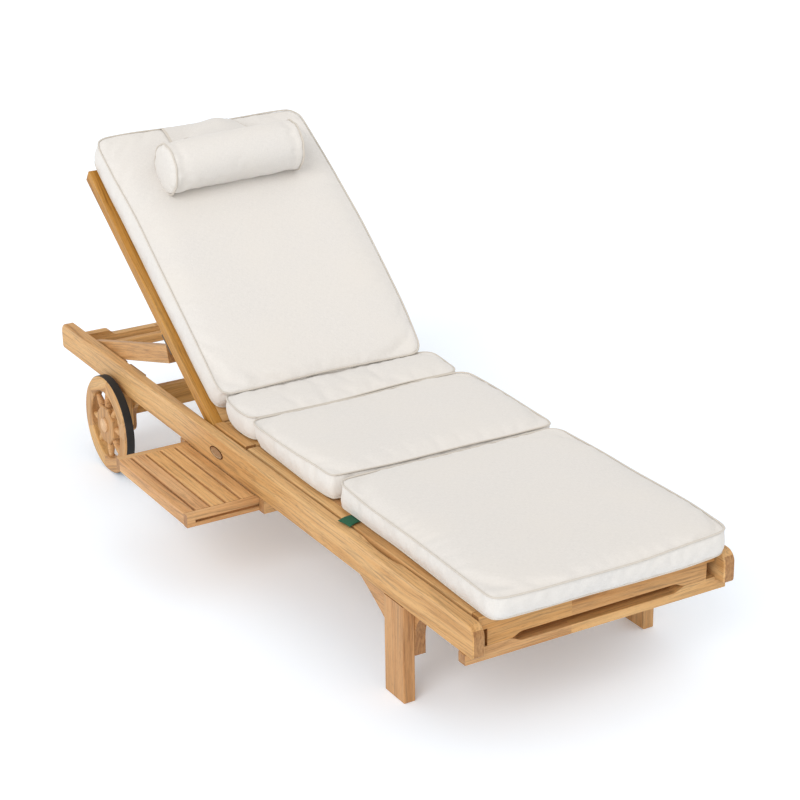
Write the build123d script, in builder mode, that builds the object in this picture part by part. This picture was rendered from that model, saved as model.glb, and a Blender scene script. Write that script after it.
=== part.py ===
"""Teak chaise longue with wheels, a sliding side tray, a propped back, a lifting knee and cushions.

Millimetres, Z up. X runs across the lounger, Y along it from the foot end to the head end.
The back and its prop are drawn level first, then swung up to the pose shown.
"""
import os
from math import atan2, cos, degrees, hypot, pi, radians, sin, sqrt

from build123d import *

# Side rails
rail_length = 2000
rail_height = 70
rail_thickness = 27
rail_underside = 218
rail_top_round = 26
rail_bottom_round = 10
frame_width = 624
rail_ease = 2.5
board_ease = 1.5
joint_gap = 0.3

# Finger scoop in the inner top edge of each rail
scoop_inset = 352
scoop_half_run = 90
scoop_sink = 10
scoop_bite = 11

# Deck sections between the rails
panel_thickness = 28
panel_proud = 2
side_gap = 3.5
stile_width = 26
slat_thickness = 18
slat_drop = 1
slat_gap = 12

# Ledgers on the inner faces of the rails
ledger_width = 18

# Foot end
foot_inset = 28
foot_board_thickness = 24
foot_board_low = 196
foot_board_seam = 225
foot_shelf_depth = 30
foot_shelf_top = 211
grip_margin = 55
grip_depth = 10
grip_run_out = 34

# Head end
head_board_low = 205
head_board_top = 258.5
scoop_margin = 80
scoop_depth = 14
scoop_run_out = 26

# Foot legs
foot_leg_inset = 267.5
leg_width = 75
tenon_thickness = 12
tenon_width = 51
tenon_height = 38
fit_clearance = 0.05
bracket_thickness = 25
bracket_low = 103
bracket_step = 30
bracket_long = 201
bracket_short = 58
bracket_head_sag = 7
bracket_foot_sag = 18
apron_thickness = 24
apron_low = 152

# Wheels and axle
axle_inset = 314
tyre_radius = 124.8
tyre_thickness = 4
tyre_width = 21
rim_width = 25
rim_lip_drop = 1.2
rim_lip_ease = 3.5
rim_depth = 34
rim_ease = 2.5
wheel_standoff = 9.8
hub_radius = 52
hub_inner_reach = 8.5
hub_outer_reach = 1
hub_ease = 3
spoke_count = 8
spoke_end_radius = 6
spoke_belly_radius = 9
spoke_belly_share = 0.42
axle_radius = 6
running_clearance = 0.05
cap_radius = 18.5
cap_height = 4.5
cap_ease = 1.5
nut_radius = 10
nut_height = 7

# Wheel legs, their brackets and the beam between them
wheel_leg_round = 37.5
wheel_bracket_top = 198
wheel_bracket_width = 12
wheel_bracket_foot_reach = 83
wheel_bracket_head_reach = 147
wheel_bracket_neck = 28
wheel_bracket_neck_z = 140
wheel_bracket_sag = 12
beam_thickness = 24
beam_low = 141
beam_top = 199

# Back
back_pivot_y = 173.6
back_thickness = 31
back_overlap = 15.6
back_rest_angle = 34.35
back_low_rail = 55
back_high_rail = 60
back_slat_count = 9
pin_radius = 5
pin_embed = 16

# Prop that holds the back up
prop_hinge_share = 0.331646
prop_hinge_drop = 56
prop_arm_width = 20
prop_arm_height = 44
prop_arm_tail = 22
prop_arm_share = 0.564304
prop_rest_slope = 15.97
prop_ratio = 1.52
prop_bar_width = 24
prop_bar_height = 22
prop_bar_ease = 4
prop_round = 9
stretcher_width = 22
stretcher_height = 40
stretcher_tongue = 7
plate_thickness = 5
plate_side_gap = 0.4
plate_length = 60
plate_eye = 12

# Racks that the prop's bar stands on
rack_width = 22
rack_side_gap = 3.5
rack_foot_reach = 18
rack_fall_start = 8
rack_step_end = 13
rack_step = 6.6
rack_fall_end = 21
rack_fall = 22.6
rack_notch_radius = 11.5
rack_notch_angles = (43, 51.5, 60)

# Hip section, fixed between the rails
hip_foot_y = -3
hip_head_y = 155
hip_slat_count = 2

# Knee section and foot section
knee_pivot_y = -20
knee_foot_y = -480
foot_head_y = -483
knee_slat_count = 6
foot_slat_count = 6
end_rail_seam_gap = 0.3

# Prop under the knee section
knee_prop_reach = 230
knee_prop_drop = 12
knee_arm_x = 80
knee_arm_width = 16
knee_arm_height = 22
knee_pin_radius = 4
knee_bar_radius = 6.5
knee_bar_gap = 5
knee_cleat_width = 22
knee_cleat_length = 60
knee_cleat_skirt = 12
knee_arm_gap = 2
knee_rack_width = 20
knee_rack_foot_y = -505
knee_rack_head_y = -405
knee_notch_radius = 7.5
knee_notch_angles = (17, 25)

# Butt hinges between the knee and foot sections
hinge_length = 54
hinge_leaf = 26
hinge_plate = 2.5
hinge_barrel = 4
hinge_pin = 2
hinge_plate_start = 4.5
knuckle_count = 3
hinge_lift = 2
knuckle_gap = 0.3
hinge_place_shares = (-0.7, 0, 0.7)

# Side tray, drawn pulled out
tray_reach = 175
tray_width = 318
tray_foot_y = -121
tray_length = 379
tray_top = 216
tray_thickness = 30
tray_end = 18
tray_outer_stile = 26
tray_slat_gap = 5.5
tray_slat_count = 7
tray_slat_thickness = 20
runner_width = 23
runner_low = 186
runner_gap = 1
tongue_height = 6
tongue_depth = 7
tongue_low = 196
groove_clearance = 0.3
groove_blind = 20
tongue_start = 22

# Cushions
cushion_reach = 1.5
cushion_shift = 14
cushion_thickness = 60
cushion_corner = 32
cushion_corner_crown = 12
cushion_slim_share = 0.3
hip_cushion_span = (-7, 148)
knee_cushion_span = (-375, -13)
foot_cushion_overhang = 41
foot_cushion_head_y = -397
back_cushion_start = 27
back_cushion_thickness = 70
back_cushion_skew = 10
back_cushion_overhang = 45
seam_lean = 13
cushion_inset_shares = (0.09, 0, 0.07, 0.07, 0, 0.09, 0.55, 1.25)
cushion_height_shares = (0, 0.14, 0.34, 0.66, 0.86, 1, 1.1, 1.133)

# Headrest
bolster_below_top = 131
bolster_radius = 61
bolster_half_length = 180
bolster_crown = 9
bolster_edge = 8
bolster_shift = 25
bolster_bed = 128
flap_half_width = 90
flap_shift = 10
flap_thickness = 2.5
flap_hang = 40
flap_start_angle = 24

# Sizes that follow from the ones above
rail_top = rail_underside + rail_height
deck_top = rail_top + panel_proud
panel_low = deck_top - panel_thickness
ledger_top = panel_low - joint_gap
rail_inner = frame_width / 2 - rail_thickness
ledger_inner = rail_inner - ledger_width
stile_outer = rail_inner - side_gap
stile_inner = stile_outer - stile_width
slat_top = deck_top - slat_drop
slat_low = slat_top - slat_thickness
foot_face_y = foot_inset - rail_length / 2
foot_back_y = foot_face_y + foot_board_thickness
head_face_y = -foot_face_y
head_back_y = -foot_back_y
back_pivot_z = deck_top - back_thickness / 2
back_length = head_back_y + back_overlap - back_pivot_y
prop_hinge_along = back_length * prop_hinge_share
prop_arm_reach = back_length * prop_arm_share
foot_leg_y = foot_face_y + foot_leg_inset
axle_y = head_face_y - axle_inset
scoop_centre_y = foot_face_y + scoop_inset
ledger_head_y = hip_head_y
grip_half_length = ledger_inner - grip_margin
scoop_half_length = rail_inner - scoop_margin
knee_bar_half = ledger_inner - knee_bar_gap
cushion_half_width = stile_outer + cushion_reach
tray_outer_x = -frame_width / 2 - tray_reach
rack_x = stile_outer - prop_arm_width - rack_side_gap - rack_width
back_low = deck_top - back_thickness
knee_pivot_z = deck_top - panel_thickness / 2
hinge_y = (knee_foot_y + foot_head_y) / 2
hinge_z = slat_low - hinge_barrel - hinge_lift
overrun = rail_thickness
back_axis = Axis((0, back_pivot_y, back_pivot_z), (1, 0, 0))
pieces = {}


def keep(name, part):
    """Name a finished piece and put it on the list."""
    part.label = name
    pieces[name] = part


def both_sides(name, part):
    """Keep a left piece and its mirror image on the right."""
    with BuildPart() as other:
        mirror(part, about=Plane.YZ)
    keep(name + "_left", part)
    keep(name + "_right", other.part)


def plank(x, y, z, ease=board_ease):
    """A straight board across three spans, the four edges along its length eased."""
    spans = (x, y, z)
    sizes = [span[1] - span[0] for span in spans]
    run = (Axis.X, Axis.Y, Axis.Z)[sizes.index(max(sizes))]
    with BuildPart() as board:
        with BuildSketch(Plane.XY.offset(z[0])):
            with Locations(((x[0] + x[1]) / 2, (y[0] + y[1]) / 2)):
                Rectangle(sizes[0], sizes[1])
        extrude(amount=sizes[2])
        chamfer(board.edges().filter_by(run), ease)
    return board.part


def slats(low, high, count, gap, outer_gap):
    """Even slats across the lounger between two places along it."""
    width = (high - low - gap * (count - 1) - 2 * outer_gap) / count
    with BuildPart() as row:
        for i in range(count):
            start = low + outer_gap + i * (width + gap)
            add(plank((-stile_inner, stile_inner), (start, start + width), (slat_low, slat_top)))
    return row.part


# Side rails: rounded ends, finger scoop, mortise for the foot leg, blind holes for the pivot pins
with BuildPart() as rail:
    with BuildSketch(Plane.YZ.offset(-frame_width / 2)) as rail_side:
        with Locations((0, rail_underside + rail_height / 2)):
            Rectangle(rail_length, rail_height)
        fillet(rail_side.vertices().group_by(Axis.Y)[-1], rail_top_round)
        fillet(rail_side.vertices().group_by(Axis.Y)[0], rail_bottom_round)
    extrude(amount=rail_thickness)
    chamfer(rail.faces().filter_by(Axis.X).edges(), rail_ease)
    scoop_radius = (scoop_half_run**2 + scoop_sink**2) / (2 * scoop_sink)
    with BuildSketch(Plane.YZ.offset(-rail_inner)):
        with Locations((scoop_centre_y, rail_top + scoop_radius - scoop_sink)):
            Circle(scoop_radius)
    extrude(amount=-scoop_bite, mode=Mode.SUBTRACT)
    with BuildSketch(Plane.XY.offset(rail_underside)):
        with Locations((-(frame_width - rail_thickness) / 2, foot_leg_y)):
            Rectangle(tenon_thickness + 2 * fit_clearance, tenon_width + 2 * fit_clearance)
    extrude(amount=tenon_height + joint_gap, mode=Mode.SUBTRACT)
    with BuildSketch(Plane.YZ.offset(-rail_inner)):
        with Locations((back_pivot_y, back_pivot_z), (knee_pivot_y, knee_pivot_z)):
            Circle(pin_radius + fit_clearance)
    extrude(amount=-(pin_embed + joint_gap), mode=Mode.SUBTRACT)
both_sides("rail", rail.part)

# Foot end: a board under the rails and, above it, the foot section's own end rail, a hand slot between
def grip_line(half, seam, depth):
    """Points of one edge of the hand slot, curved in at both ends."""
    flat = half - grip_run_out
    return ((-half, seam), (-flat, seam + depth), (flat, seam + depth), (half, seam))


with BuildPart() as foot_board:
    with BuildSketch(Plane.XZ.offset(-foot_back_y)):
        with Locations((0, (foot_board_low + rail_underside) / 2)):
            Rectangle(frame_width, rail_underside - foot_board_low)
        with Locations((0, (foot_board_low + foot_board_seam) / 2)):
            Rectangle(2 * (rail_inner - joint_gap), foot_board_seam - foot_board_low)
        with BuildLine():
            outer, left, right, last = grip_line(grip_half_length, foot_board_seam, -grip_depth)
            Spline(outer, left, tangents=((1, 0), (1, 0)))
            Line(left, right)
            Spline(right, last, tangents=((1, 0), (1, 0)))
            Line(last, outer)
        make_face(mode=Mode.SUBTRACT)
    extrude(amount=foot_board_thickness)
    with BuildSketch(Plane.XY.offset(foot_board_low)):
        with Locations((0, foot_back_y + foot_shelf_depth / 2)):
            Rectangle(2 * knee_bar_half, foot_shelf_depth)
    extrude(amount=foot_shelf_top - foot_board_low)
keep("foot_board", foot_board.part)

with BuildPart() as end_rail:
    with BuildSketch(Plane.XZ.offset(-foot_back_y)):
        with Locations((0, (panel_low + deck_top) / 2)):
            Rectangle(2 * stile_outer, panel_thickness)
        end_rail_low = foot_board_seam + end_rail_seam_gap
        with Locations((0, (end_rail_low + panel_low) / 2)):
            Rectangle(2 * knee_bar_half, panel_low - end_rail_low)
        with BuildLine():
            outer, left, right, last = grip_line(grip_half_length, end_rail_low, grip_depth)
            Spline(outer, left, tangents=((1, 0), (1, 0)))
            Line(left, right)
            Spline(right, last, tangents=((1, 0), (1, 0)))
            Line(last, outer)
        make_face(mode=Mode.SUBTRACT)
    extrude(amount=foot_board_thickness)
    chamfer(end_rail.faces().sort_by(Axis.Z)[-1].edges().filter_by(Axis.X), board_ease)
keep("foot_end_rail", end_rail.part)

# Head end: a board between the rails, its top edge scooped
with BuildPart() as head_board:
    with BuildSketch(Plane.XZ.offset(-head_face_y)):
        with Locations((0, (head_board_low + head_board_top) / 2)):
            Rectangle(2 * rail_inner, head_board_top - head_board_low)
        with BuildLine():
            inner = scoop_half_length - scoop_run_out
            low = head_board_top - scoop_depth
            Spline((-scoop_half_length, head_board_top), (-inner, low), tangents=((1, 0), (1, 0)))
            Line((-inner, low), (inner, low))
            Spline((inner, low), (scoop_half_length, head_board_top), tangents=((1, 0), (1, 0)))
            Line((scoop_half_length, head_board_top), (-scoop_half_length, head_board_top))
        make_face(mode=Mode.SUBTRACT)
    extrude(amount=foot_board_thickness)
keep("head_board", head_board.part)

# Foot legs with tenons, and the brackets beside them as separate boards
leg_foot_y = foot_leg_y - leg_width / 2
leg_head_y = foot_leg_y + leg_width / 2
leg_outer = frame_width / 2
bracket_head_y = leg_head_y + bracket_long
bracket_foot_y = leg_foot_y - bracket_short
bracket_outer = rail_inner - joint_gap
bracket_inner = rail_inner - bracket_thickness
with BuildPart() as foot_leg:
    with BuildSketch():
        with Locations((-(leg_outer + rail_inner) / 2, foot_leg_y)):
            Rectangle(rail_thickness, leg_width)
    extrude(amount=rail_underside)
    chamfer(foot_leg.edges().filter_by(Axis.Z), board_ease)
    chamfer(foot_leg.faces().sort_by(Axis.Z)[0].edges(), board_ease)
    with BuildSketch(Plane.XY.offset(rail_underside)):
        with Locations((-(leg_outer + rail_inner) / 2, foot_leg_y)):
            Rectangle(tenon_thickness, tenon_width)
    extrude(amount=tenon_height)
    with BuildSketch(Plane.YZ.offset(-bracket_outer)):
        with BuildLine():
            SagittaArc((leg_head_y, bracket_low), (bracket_head_y, rail_underside), bracket_head_sag)
            Line((bracket_head_y, rail_underside), (bracket_foot_y, rail_underside))
            SagittaArc(
                (bracket_foot_y, rail_underside), (leg_foot_y, bracket_low + bracket_step), bracket_foot_sag
            )
            Line((leg_foot_y, bracket_low + bracket_step), (leg_foot_y, bracket_low))
            Line((leg_foot_y, bracket_low), (leg_head_y, bracket_low))
        make_face()
    extrude(amount=bracket_outer - bracket_inner)
both_sides("foot_leg", foot_leg.part)
keep(
    "foot_apron",
    plank(
        (-bracket_inner, bracket_inner),
        (foot_leg_y - apron_thickness / 2, foot_leg_y + apron_thickness / 2),
        (apron_low, rail_underside),
    ),
)

# Wheel legs bored for the axle, with their brackets
axle_z = tyre_radius
wheel_bracket_inner = rail_inner - wheel_bracket_width
wheel_bracket_foot_y = axle_y - wheel_bracket_foot_reach
wheel_bracket_head_y = axle_y + wheel_bracket_head_reach
with BuildPart() as wheel_leg:
    with BuildSketch(Plane.YZ.offset(-leg_outer)):
        with BuildLine():
            Line((axle_y - wheel_leg_round, axle_z), (axle_y - wheel_leg_round, rail_underside))
            Line((axle_y - wheel_leg_round, rail_underside), (axle_y + wheel_leg_round, rail_underside))
            Line((axle_y + wheel_leg_round, rail_underside), (axle_y + wheel_leg_round, axle_z))
            SagittaArc(
                (axle_y + wheel_leg_round, axle_z), (axle_y - wheel_leg_round, axle_z), -wheel_leg_round
            )
        make_face()
        with Locations((axle_y, axle_z)):
            Circle(axle_radius + fit_clearance, mode=Mode.SUBTRACT)
    extrude(amount=rail_thickness)
    with BuildSketch(Plane.YZ.offset(-bracket_outer)):
        with BuildLine():
            neck_foot = axle_y - wheel_bracket_neck
            neck_head = axle_y + wheel_bracket_neck
            neck_low = axle_z - wheel_bracket_neck
            Line((wheel_bracket_head_y, wheel_bracket_top), (wheel_bracket_foot_y, wheel_bracket_top))
            SagittaArc(
                (wheel_bracket_foot_y, wheel_bracket_top),
                (neck_foot, wheel_bracket_neck_z),
                wheel_bracket_sag,
            )
            Line((neck_foot, wheel_bracket_neck_z), (neck_foot, axle_z))
            ThreePointArc((neck_foot, axle_z), (axle_y, neck_low), (neck_head, axle_z))
            Line((neck_head, axle_z), (neck_head, wheel_bracket_neck_z))
            SagittaArc(
                (neck_head, wheel_bracket_neck_z),
                (wheel_bracket_head_y, wheel_bracket_top),
                wheel_bracket_sag,
            )
        make_face()
        with Locations((axle_y, axle_z)):
            Circle(axle_radius + fit_clearance, mode=Mode.SUBTRACT)
    extrude(amount=bracket_outer - wheel_bracket_inner)
both_sides("wheel_leg", wheel_leg.part)
keep(
    "axle_beam",
    plank(
        (-wheel_bracket_inner, wheel_bracket_inner),
        (axle_y - beam_thickness / 2, axle_y + beam_thickness / 2),
        (beam_low, beam_top),
    ),
)

# Axle stubs and wheels: wooden rim with an outer lip, octagonal hub, turned spokes, rubber tyre
rim_inner_x = leg_outer + wheel_standoff
rim_outer_x = rim_inner_x + rim_width
hub_inner_x = rim_inner_x - hub_inner_reach
hub_outer_x = rim_outer_x + hub_outer_reach
rim_radius = tyre_radius - tyre_thickness
rim_bore = rim_radius - rim_depth
spoke_x = (rim_inner_x + rim_outer_x) / 2
axle_outer_x = hub_outer_x + joint_gap
with BuildPart() as stub:
    with BuildSketch(Plane.YZ.offset(-axle_outer_x)):
        with Locations((axle_y, axle_z)):
            Circle(axle_radius)
    extrude(amount=axle_outer_x - wheel_bracket_inner)
    with BuildSketch(Plane.YZ.offset(-wheel_bracket_inner)):
        with Locations((axle_y, axle_z)):
            Circle(nut_radius)
    extrude(amount=nut_height)
    with BuildSketch(Plane.YZ.offset(-axle_outer_x)):
        with Locations((axle_y, axle_z)):
            Circle(cap_radius)
    extrude(amount=-cap_height)
    chamfer(stub.faces().sort_by(Axis.X)[0].edges(), cap_ease)
    chamfer(stub.faces().sort_by(Axis.X)[-1].edges(), cap_ease)
with BuildPart() as axle:
    add(stub.part)
    mirror(stub.part, about=Plane.YZ)
keep("axle", axle.part)

with BuildPart() as tyre:
    with BuildSketch(Plane.YZ.offset(-rim_inner_x - tyre_width)):
        with Locations((axle_y, axle_z)):
            Circle(tyre_radius)
            Circle(rim_radius, mode=Mode.SUBTRACT)
    extrude(amount=tyre_width)
    chamfer(tyre.edges().filter_by(GeomType.CIRCLE).group_by(SortBy.RADIUS)[-1], tyre_thickness / 4)
both_sides("wheel_tyre", tyre.part)

spoke_start = hub_radius * cos(pi / spoke_count)
spoke_end = sqrt(rim_bore**2 - spoke_end_radius**2)
belly = spoke_start + (spoke_end - spoke_start) * spoke_belly_share
with BuildPart() as one_spoke:
    with BuildSketch(Plane.YZ.offset(-spoke_x)):
        with BuildLine():
            Polyline(
                (axle_y, axle_z + spoke_start),
                (axle_y + spoke_belly_radius, axle_z + spoke_start),
                (axle_y + spoke_belly_radius, axle_z + belly),
                (axle_y + spoke_end_radius, axle_z + spoke_end),
                (axle_y, axle_z + spoke_end),
                close=True,
            )
        make_face()
    revolve(axis=Axis((-spoke_x, axle_y, axle_z), (0, 0, 1)))
wheel_axis = Axis((-spoke_x, axle_y, axle_z), (1, 0, 0))
with BuildPart() as spokes:
    for i in range(spoke_count):
        add(one_spoke.part.rotate(wheel_axis, i * degrees(2 * pi) / spoke_count))
both_sides("wheel_spokes", spokes.part)

rim_lip_radius = tyre_radius - rim_lip_drop
with BuildPart() as rim:
    for radius, width in ((rim_lip_radius, rim_width - tyre_width), (rim_radius, rim_width)):
        with BuildSketch(Plane.YZ.offset(-rim_outer_x)):
            with Locations((axle_y, axle_z)):
                Circle(radius)
                Circle(rim_bore, mode=Mode.SUBTRACT)
        extrude(amount=width)
    chamfer(rim.edges().filter_by(GeomType.CIRCLE).group_by(SortBy.RADIUS)[0], rim_ease)
    chamfer(rim.edges().filter_by(GeomType.CIRCLE).group_by(SortBy.RADIUS)[-1].sort_by(Axis.X)[0], rim_lip_ease)
both_sides("wheel_rim", rim.part)

with BuildPart() as hub:
    with BuildSketch(Plane.YZ.offset(-hub_outer_x)):
        with Locations((axle_y, axle_z)):
            RegularPolygon(hub_radius, spoke_count, rotation=degrees(pi) / spoke_count)
            Circle(axle_radius + running_clearance, mode=Mode.SUBTRACT)
    extrude(amount=hub_outer_x - hub_inner_x)
    chamfer(hub.faces().sort_by(Axis.X)[0].edges().filter_by(GeomType.LINE), hub_ease)
both_sides("wheel_hub", hub.part)

# Hip section, fixed between the rails
both_sides(
    "hip_stile",
    plank((-stile_outer, -stile_inner), (hip_foot_y, hip_head_y), (panel_low, deck_top)),
)
keep("hip_slats", slats(hip_foot_y, hip_head_y, hip_slat_count, slat_gap, 0))

# Pins the back and the knee section turn on, half in the rails and half in the stiles
with BuildPart() as pins:
    for way in (-1, 1):
        with BuildSketch(Plane.YZ.offset(way * (stile_outer - pin_embed))):
            with Locations((back_pivot_y, back_pivot_z), (knee_pivot_y, knee_pivot_z)):
                Circle(pin_radius)
        extrude(amount=way * (rail_inner - stile_outer + 2 * pin_embed))
keep("pivot_pins", pins.part)

# Back, drawn level: stiles rounded about the pins, end rails and slats between them
back_top_y = back_pivot_y + back_length
with BuildPart() as back_stile:
    with BuildSketch(Plane.YZ.offset(-stile_outer)):
        with Locations(((back_pivot_y + back_top_y) / 2, back_pivot_z)):
            Rectangle(back_length, back_thickness)
        with Locations((back_pivot_y, back_pivot_z)):
            Circle(back_thickness / 2)
    extrude(amount=stile_width)
    chamfer(back_stile.faces().filter_by(Axis.X).edges(), board_ease)
    with BuildSketch(Plane.YZ.offset(-stile_outer)):
        with Locations((back_pivot_y, back_pivot_z)):
            Circle(pin_radius + running_clearance)
    extrude(amount=pin_embed + joint_gap, mode=Mode.SUBTRACT)
both_sides("back_stile", back_stile.part)
back_rail_x = (-stile_inner, stile_inner)
low_rail_y = (back_pivot_y, back_pivot_y + back_low_rail)
high_rail_y = (back_top_y - back_high_rail, back_top_y)
keep("back_low_rail", plank(back_rail_x, low_rail_y, (slat_low, slat_top)))
keep("back_high_rail", plank(back_rail_x, high_rail_y, (slat_low, slat_top)))
keep("back_slats", slats(low_rail_y[1], high_rail_y[0], back_slat_count, slat_gap, slat_gap))

# Steel plates under the back's stiles that carry the prop
prop_y = back_pivot_y + prop_hinge_along
prop_z = back_pivot_z - prop_hinge_drop
plate_low = back_low - joint_gap - plate_thickness
with BuildPart() as plate:
    with BuildSketch(Plane.YZ.offset(-stile_inner - plate_side_gap)):
        with Locations((prop_y, (prop_z + plate_low) / 2)):
            Rectangle(2 * plate_eye, plate_low - prop_z)
        with Locations((prop_y, prop_z)):
            Circle(plate_eye)
            Circle(pin_radius + running_clearance, mode=Mode.SUBTRACT)
    extrude(amount=-plate_thickness)
    with BuildSketch(Plane.XY.offset(plate_low)):
        with Locations((-(stile_inner + plate_side_gap + stile_outer) / 2, prop_y)):
            Rectangle(stile_width - plate_side_gap, plate_length)
    extrude(amount=plate_thickness)
both_sides("prop_plate", plate.part)

# Swing the back up to the angle shown
back_names = [name for name in pieces if name.startswith(("back_", "prop_plate"))]
for name in back_names:
    keep(name, pieces[name].rotate(back_axis, back_rest_angle))

# Prop: two arms with their pins, a stretcher at the top and a bar at the bottom
swing = radians(back_rest_angle)
hinge_y0 = back_pivot_y + prop_hinge_along * cos(swing) + prop_hinge_drop * sin(swing)
hinge_z0 = back_pivot_z + prop_hinge_along * sin(swing) - prop_hinge_drop * cos(swing)
prop_axis = Axis((0, hinge_y0, hinge_z0), (1, 0, 0))
arm_outer = stile_outer
arm_inner = arm_outer - prop_arm_width
with BuildPart() as arm:
    with BuildSketch(Plane.YZ.offset(-arm_outer)) as arm_side:
        with Locations((hinge_y0 + (prop_arm_reach - prop_arm_tail + prop_bar_width / 2) / 2, hinge_z0)):
            Rectangle(prop_arm_reach + prop_arm_tail + prop_bar_width / 2, prop_arm_height)
        fillet(arm_side.vertices().group_by(Axis.X)[-1], prop_round)
    extrude(amount=prop_arm_width)
    chamfer(arm.faces().filter_by(Axis.X).edges(), board_ease)
    with BuildSketch(Plane.YZ.offset(-arm_outer)):
        with Locations((hinge_y0, hinge_z0)):
            Circle(pin_radius + fit_clearance)
    extrude(amount=prop_arm_width, mode=Mode.SUBTRACT)
    with BuildSketch(Plane.YZ.offset(-arm_outer)):
        with Locations((hinge_y0, hinge_z0)):
            Circle(pin_radius)
    extrude(amount=stile_outer - stile_inner)
both_sides("prop_arm", arm.part)
tail_y = hinge_y0 - prop_arm_tail
plate_inner = stile_inner - joint_gap
with BuildPart() as stretcher:
    with BuildSketch(Plane.YZ.offset(-plate_inner)):
        with Locations((tail_y + stretcher_width / 2, hinge_z0)):
            Rectangle(stretcher_width, stretcher_height)
    extrude(amount=2 * plate_inner)
    chamfer(stretcher.edges().filter_by(Axis.X), board_ease)
    with BuildSketch(Plane.YZ.offset(-arm_inner)):
        with Locations((tail_y + stretcher_width / 4, hinge_z0 - (stretcher_height - stretcher_tongue) / 2)):
            Rectangle(stretcher_width / 2 - 2 * board_ease, stretcher_tongue)
    extrude(amount=2 * arm_inner)
keep("prop_stretcher", stretcher.part)
for name in ("prop_arm_left", "prop_arm_right", "prop_stretcher"):
    keep(name, pieces[name].rotate(prop_axis, -prop_rest_slope))
slope = radians(prop_rest_slope)
bar_y = hinge_y0 + prop_arm_reach * cos(slope)
bar_z = hinge_z0 - prop_arm_reach * sin(slope)
with BuildPart() as bar:
    with BuildSketch(Plane.YZ.offset(-arm_inner)) as bar_face:
        with Locations((bar_y, bar_z)):
            Rectangle(prop_bar_width, prop_bar_height)
        fillet(bar_face.vertices(), prop_bar_ease)
    extrude(amount=2 * arm_inner)
keep("prop_bar", bar.part)


def prop_bar_place(angle):
    """Where the prop's bar stands along the lounger for a raised angle of the back."""
    a = radians(angle)
    b = radians(prop_rest_slope + (prop_ratio - 1) * (angle - back_rest_angle))
    return back_pivot_y + prop_hinge_along * cos(a) + prop_hinge_drop * sin(a) + prop_arm_reach * cos(b)


# Racks under the back, notched on top and falling away at the head end
rack_top = bar_z - prop_bar_height / 2 - joint_gap
rack_foot_y = axle_y - rack_foot_reach
with BuildPart() as rack:
    with BuildSketch(Plane.YZ.offset(-rack_x - rack_width)):
        with BuildLine():
            Polyline(
                (rack_foot_y, beam_top),
                (head_back_y, beam_top),
                (head_back_y, rack_top - rack_fall),
                (bar_y + rack_fall_end, rack_top - rack_fall),
                (bar_y + rack_step_end, rack_top - rack_step),
                (bar_y - rack_fall_start, rack_top),
                (rack_foot_y, rack_top),
                close=True,
            )
        make_face()
        with Locations(*[(prop_bar_place(angle), rack_top) for angle in rack_notch_angles]):
            Circle(rack_notch_radius, mode=Mode.SUBTRACT)
    extrude(amount=rack_width)
both_sides("back_rack", rack.part)

# Knee section: stiles rounded about their pins, slats, blocks for its own prop
with BuildPart() as knee_stile:
    with BuildSketch(Plane.YZ.offset(-stile_outer)):
        with Locations(((knee_foot_y + knee_pivot_y) / 2, knee_pivot_z)):
            Rectangle(knee_pivot_y - knee_foot_y, panel_thickness)
        with Locations((knee_pivot_y, knee_pivot_z)):
            Circle(panel_thickness / 2)
    extrude(amount=stile_width)
    chamfer(knee_stile.faces().filter_by(Axis.X).edges(), board_ease)
    with BuildSketch(Plane.YZ.offset(-stile_outer)):
        with Locations((knee_pivot_y, knee_pivot_z)):
            Circle(pin_radius + running_clearance)
    extrude(amount=pin_embed + joint_gap, mode=Mode.SUBTRACT)
both_sides("knee_stile", knee_stile.part)
knee_hinge_y = knee_pivot_y - knee_prop_reach
knee_hinge_z = slat_low - knee_prop_drop
cleat_outer = knee_arm_x - knee_arm_width / 2 - knee_arm_gap
cleat_inner = cleat_outer - knee_cleat_width
with BuildPart() as knee_slats:
    add(slats(knee_foot_y, knee_pivot_y, knee_slat_count, slat_gap, 0))
    for way in (-1, 1):
        with BuildSketch(Plane.YZ.offset(way * cleat_inner)):
            with Locations((knee_hinge_y, (slat_low - joint_gap + knee_hinge_z - knee_cleat_skirt) / 2)):
                Rectangle(knee_cleat_length, slat_low - joint_gap - knee_hinge_z + knee_cleat_skirt)
            with Locations((knee_hinge_y, knee_hinge_z)):
                Circle(knee_pin_radius + running_clearance, mode=Mode.SUBTRACT)
        extrude(amount=way * knee_cleat_width)
keep("knee_slats", knee_slats.part)

# Foot section
both_sides(
    "foot_stile",
    plank((-stile_outer, -stile_inner), (foot_back_y, foot_head_y), (panel_low, deck_top)),
)
keep("foot_slats", slats(foot_back_y, foot_head_y, foot_slat_count, slat_gap, 0))

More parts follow.
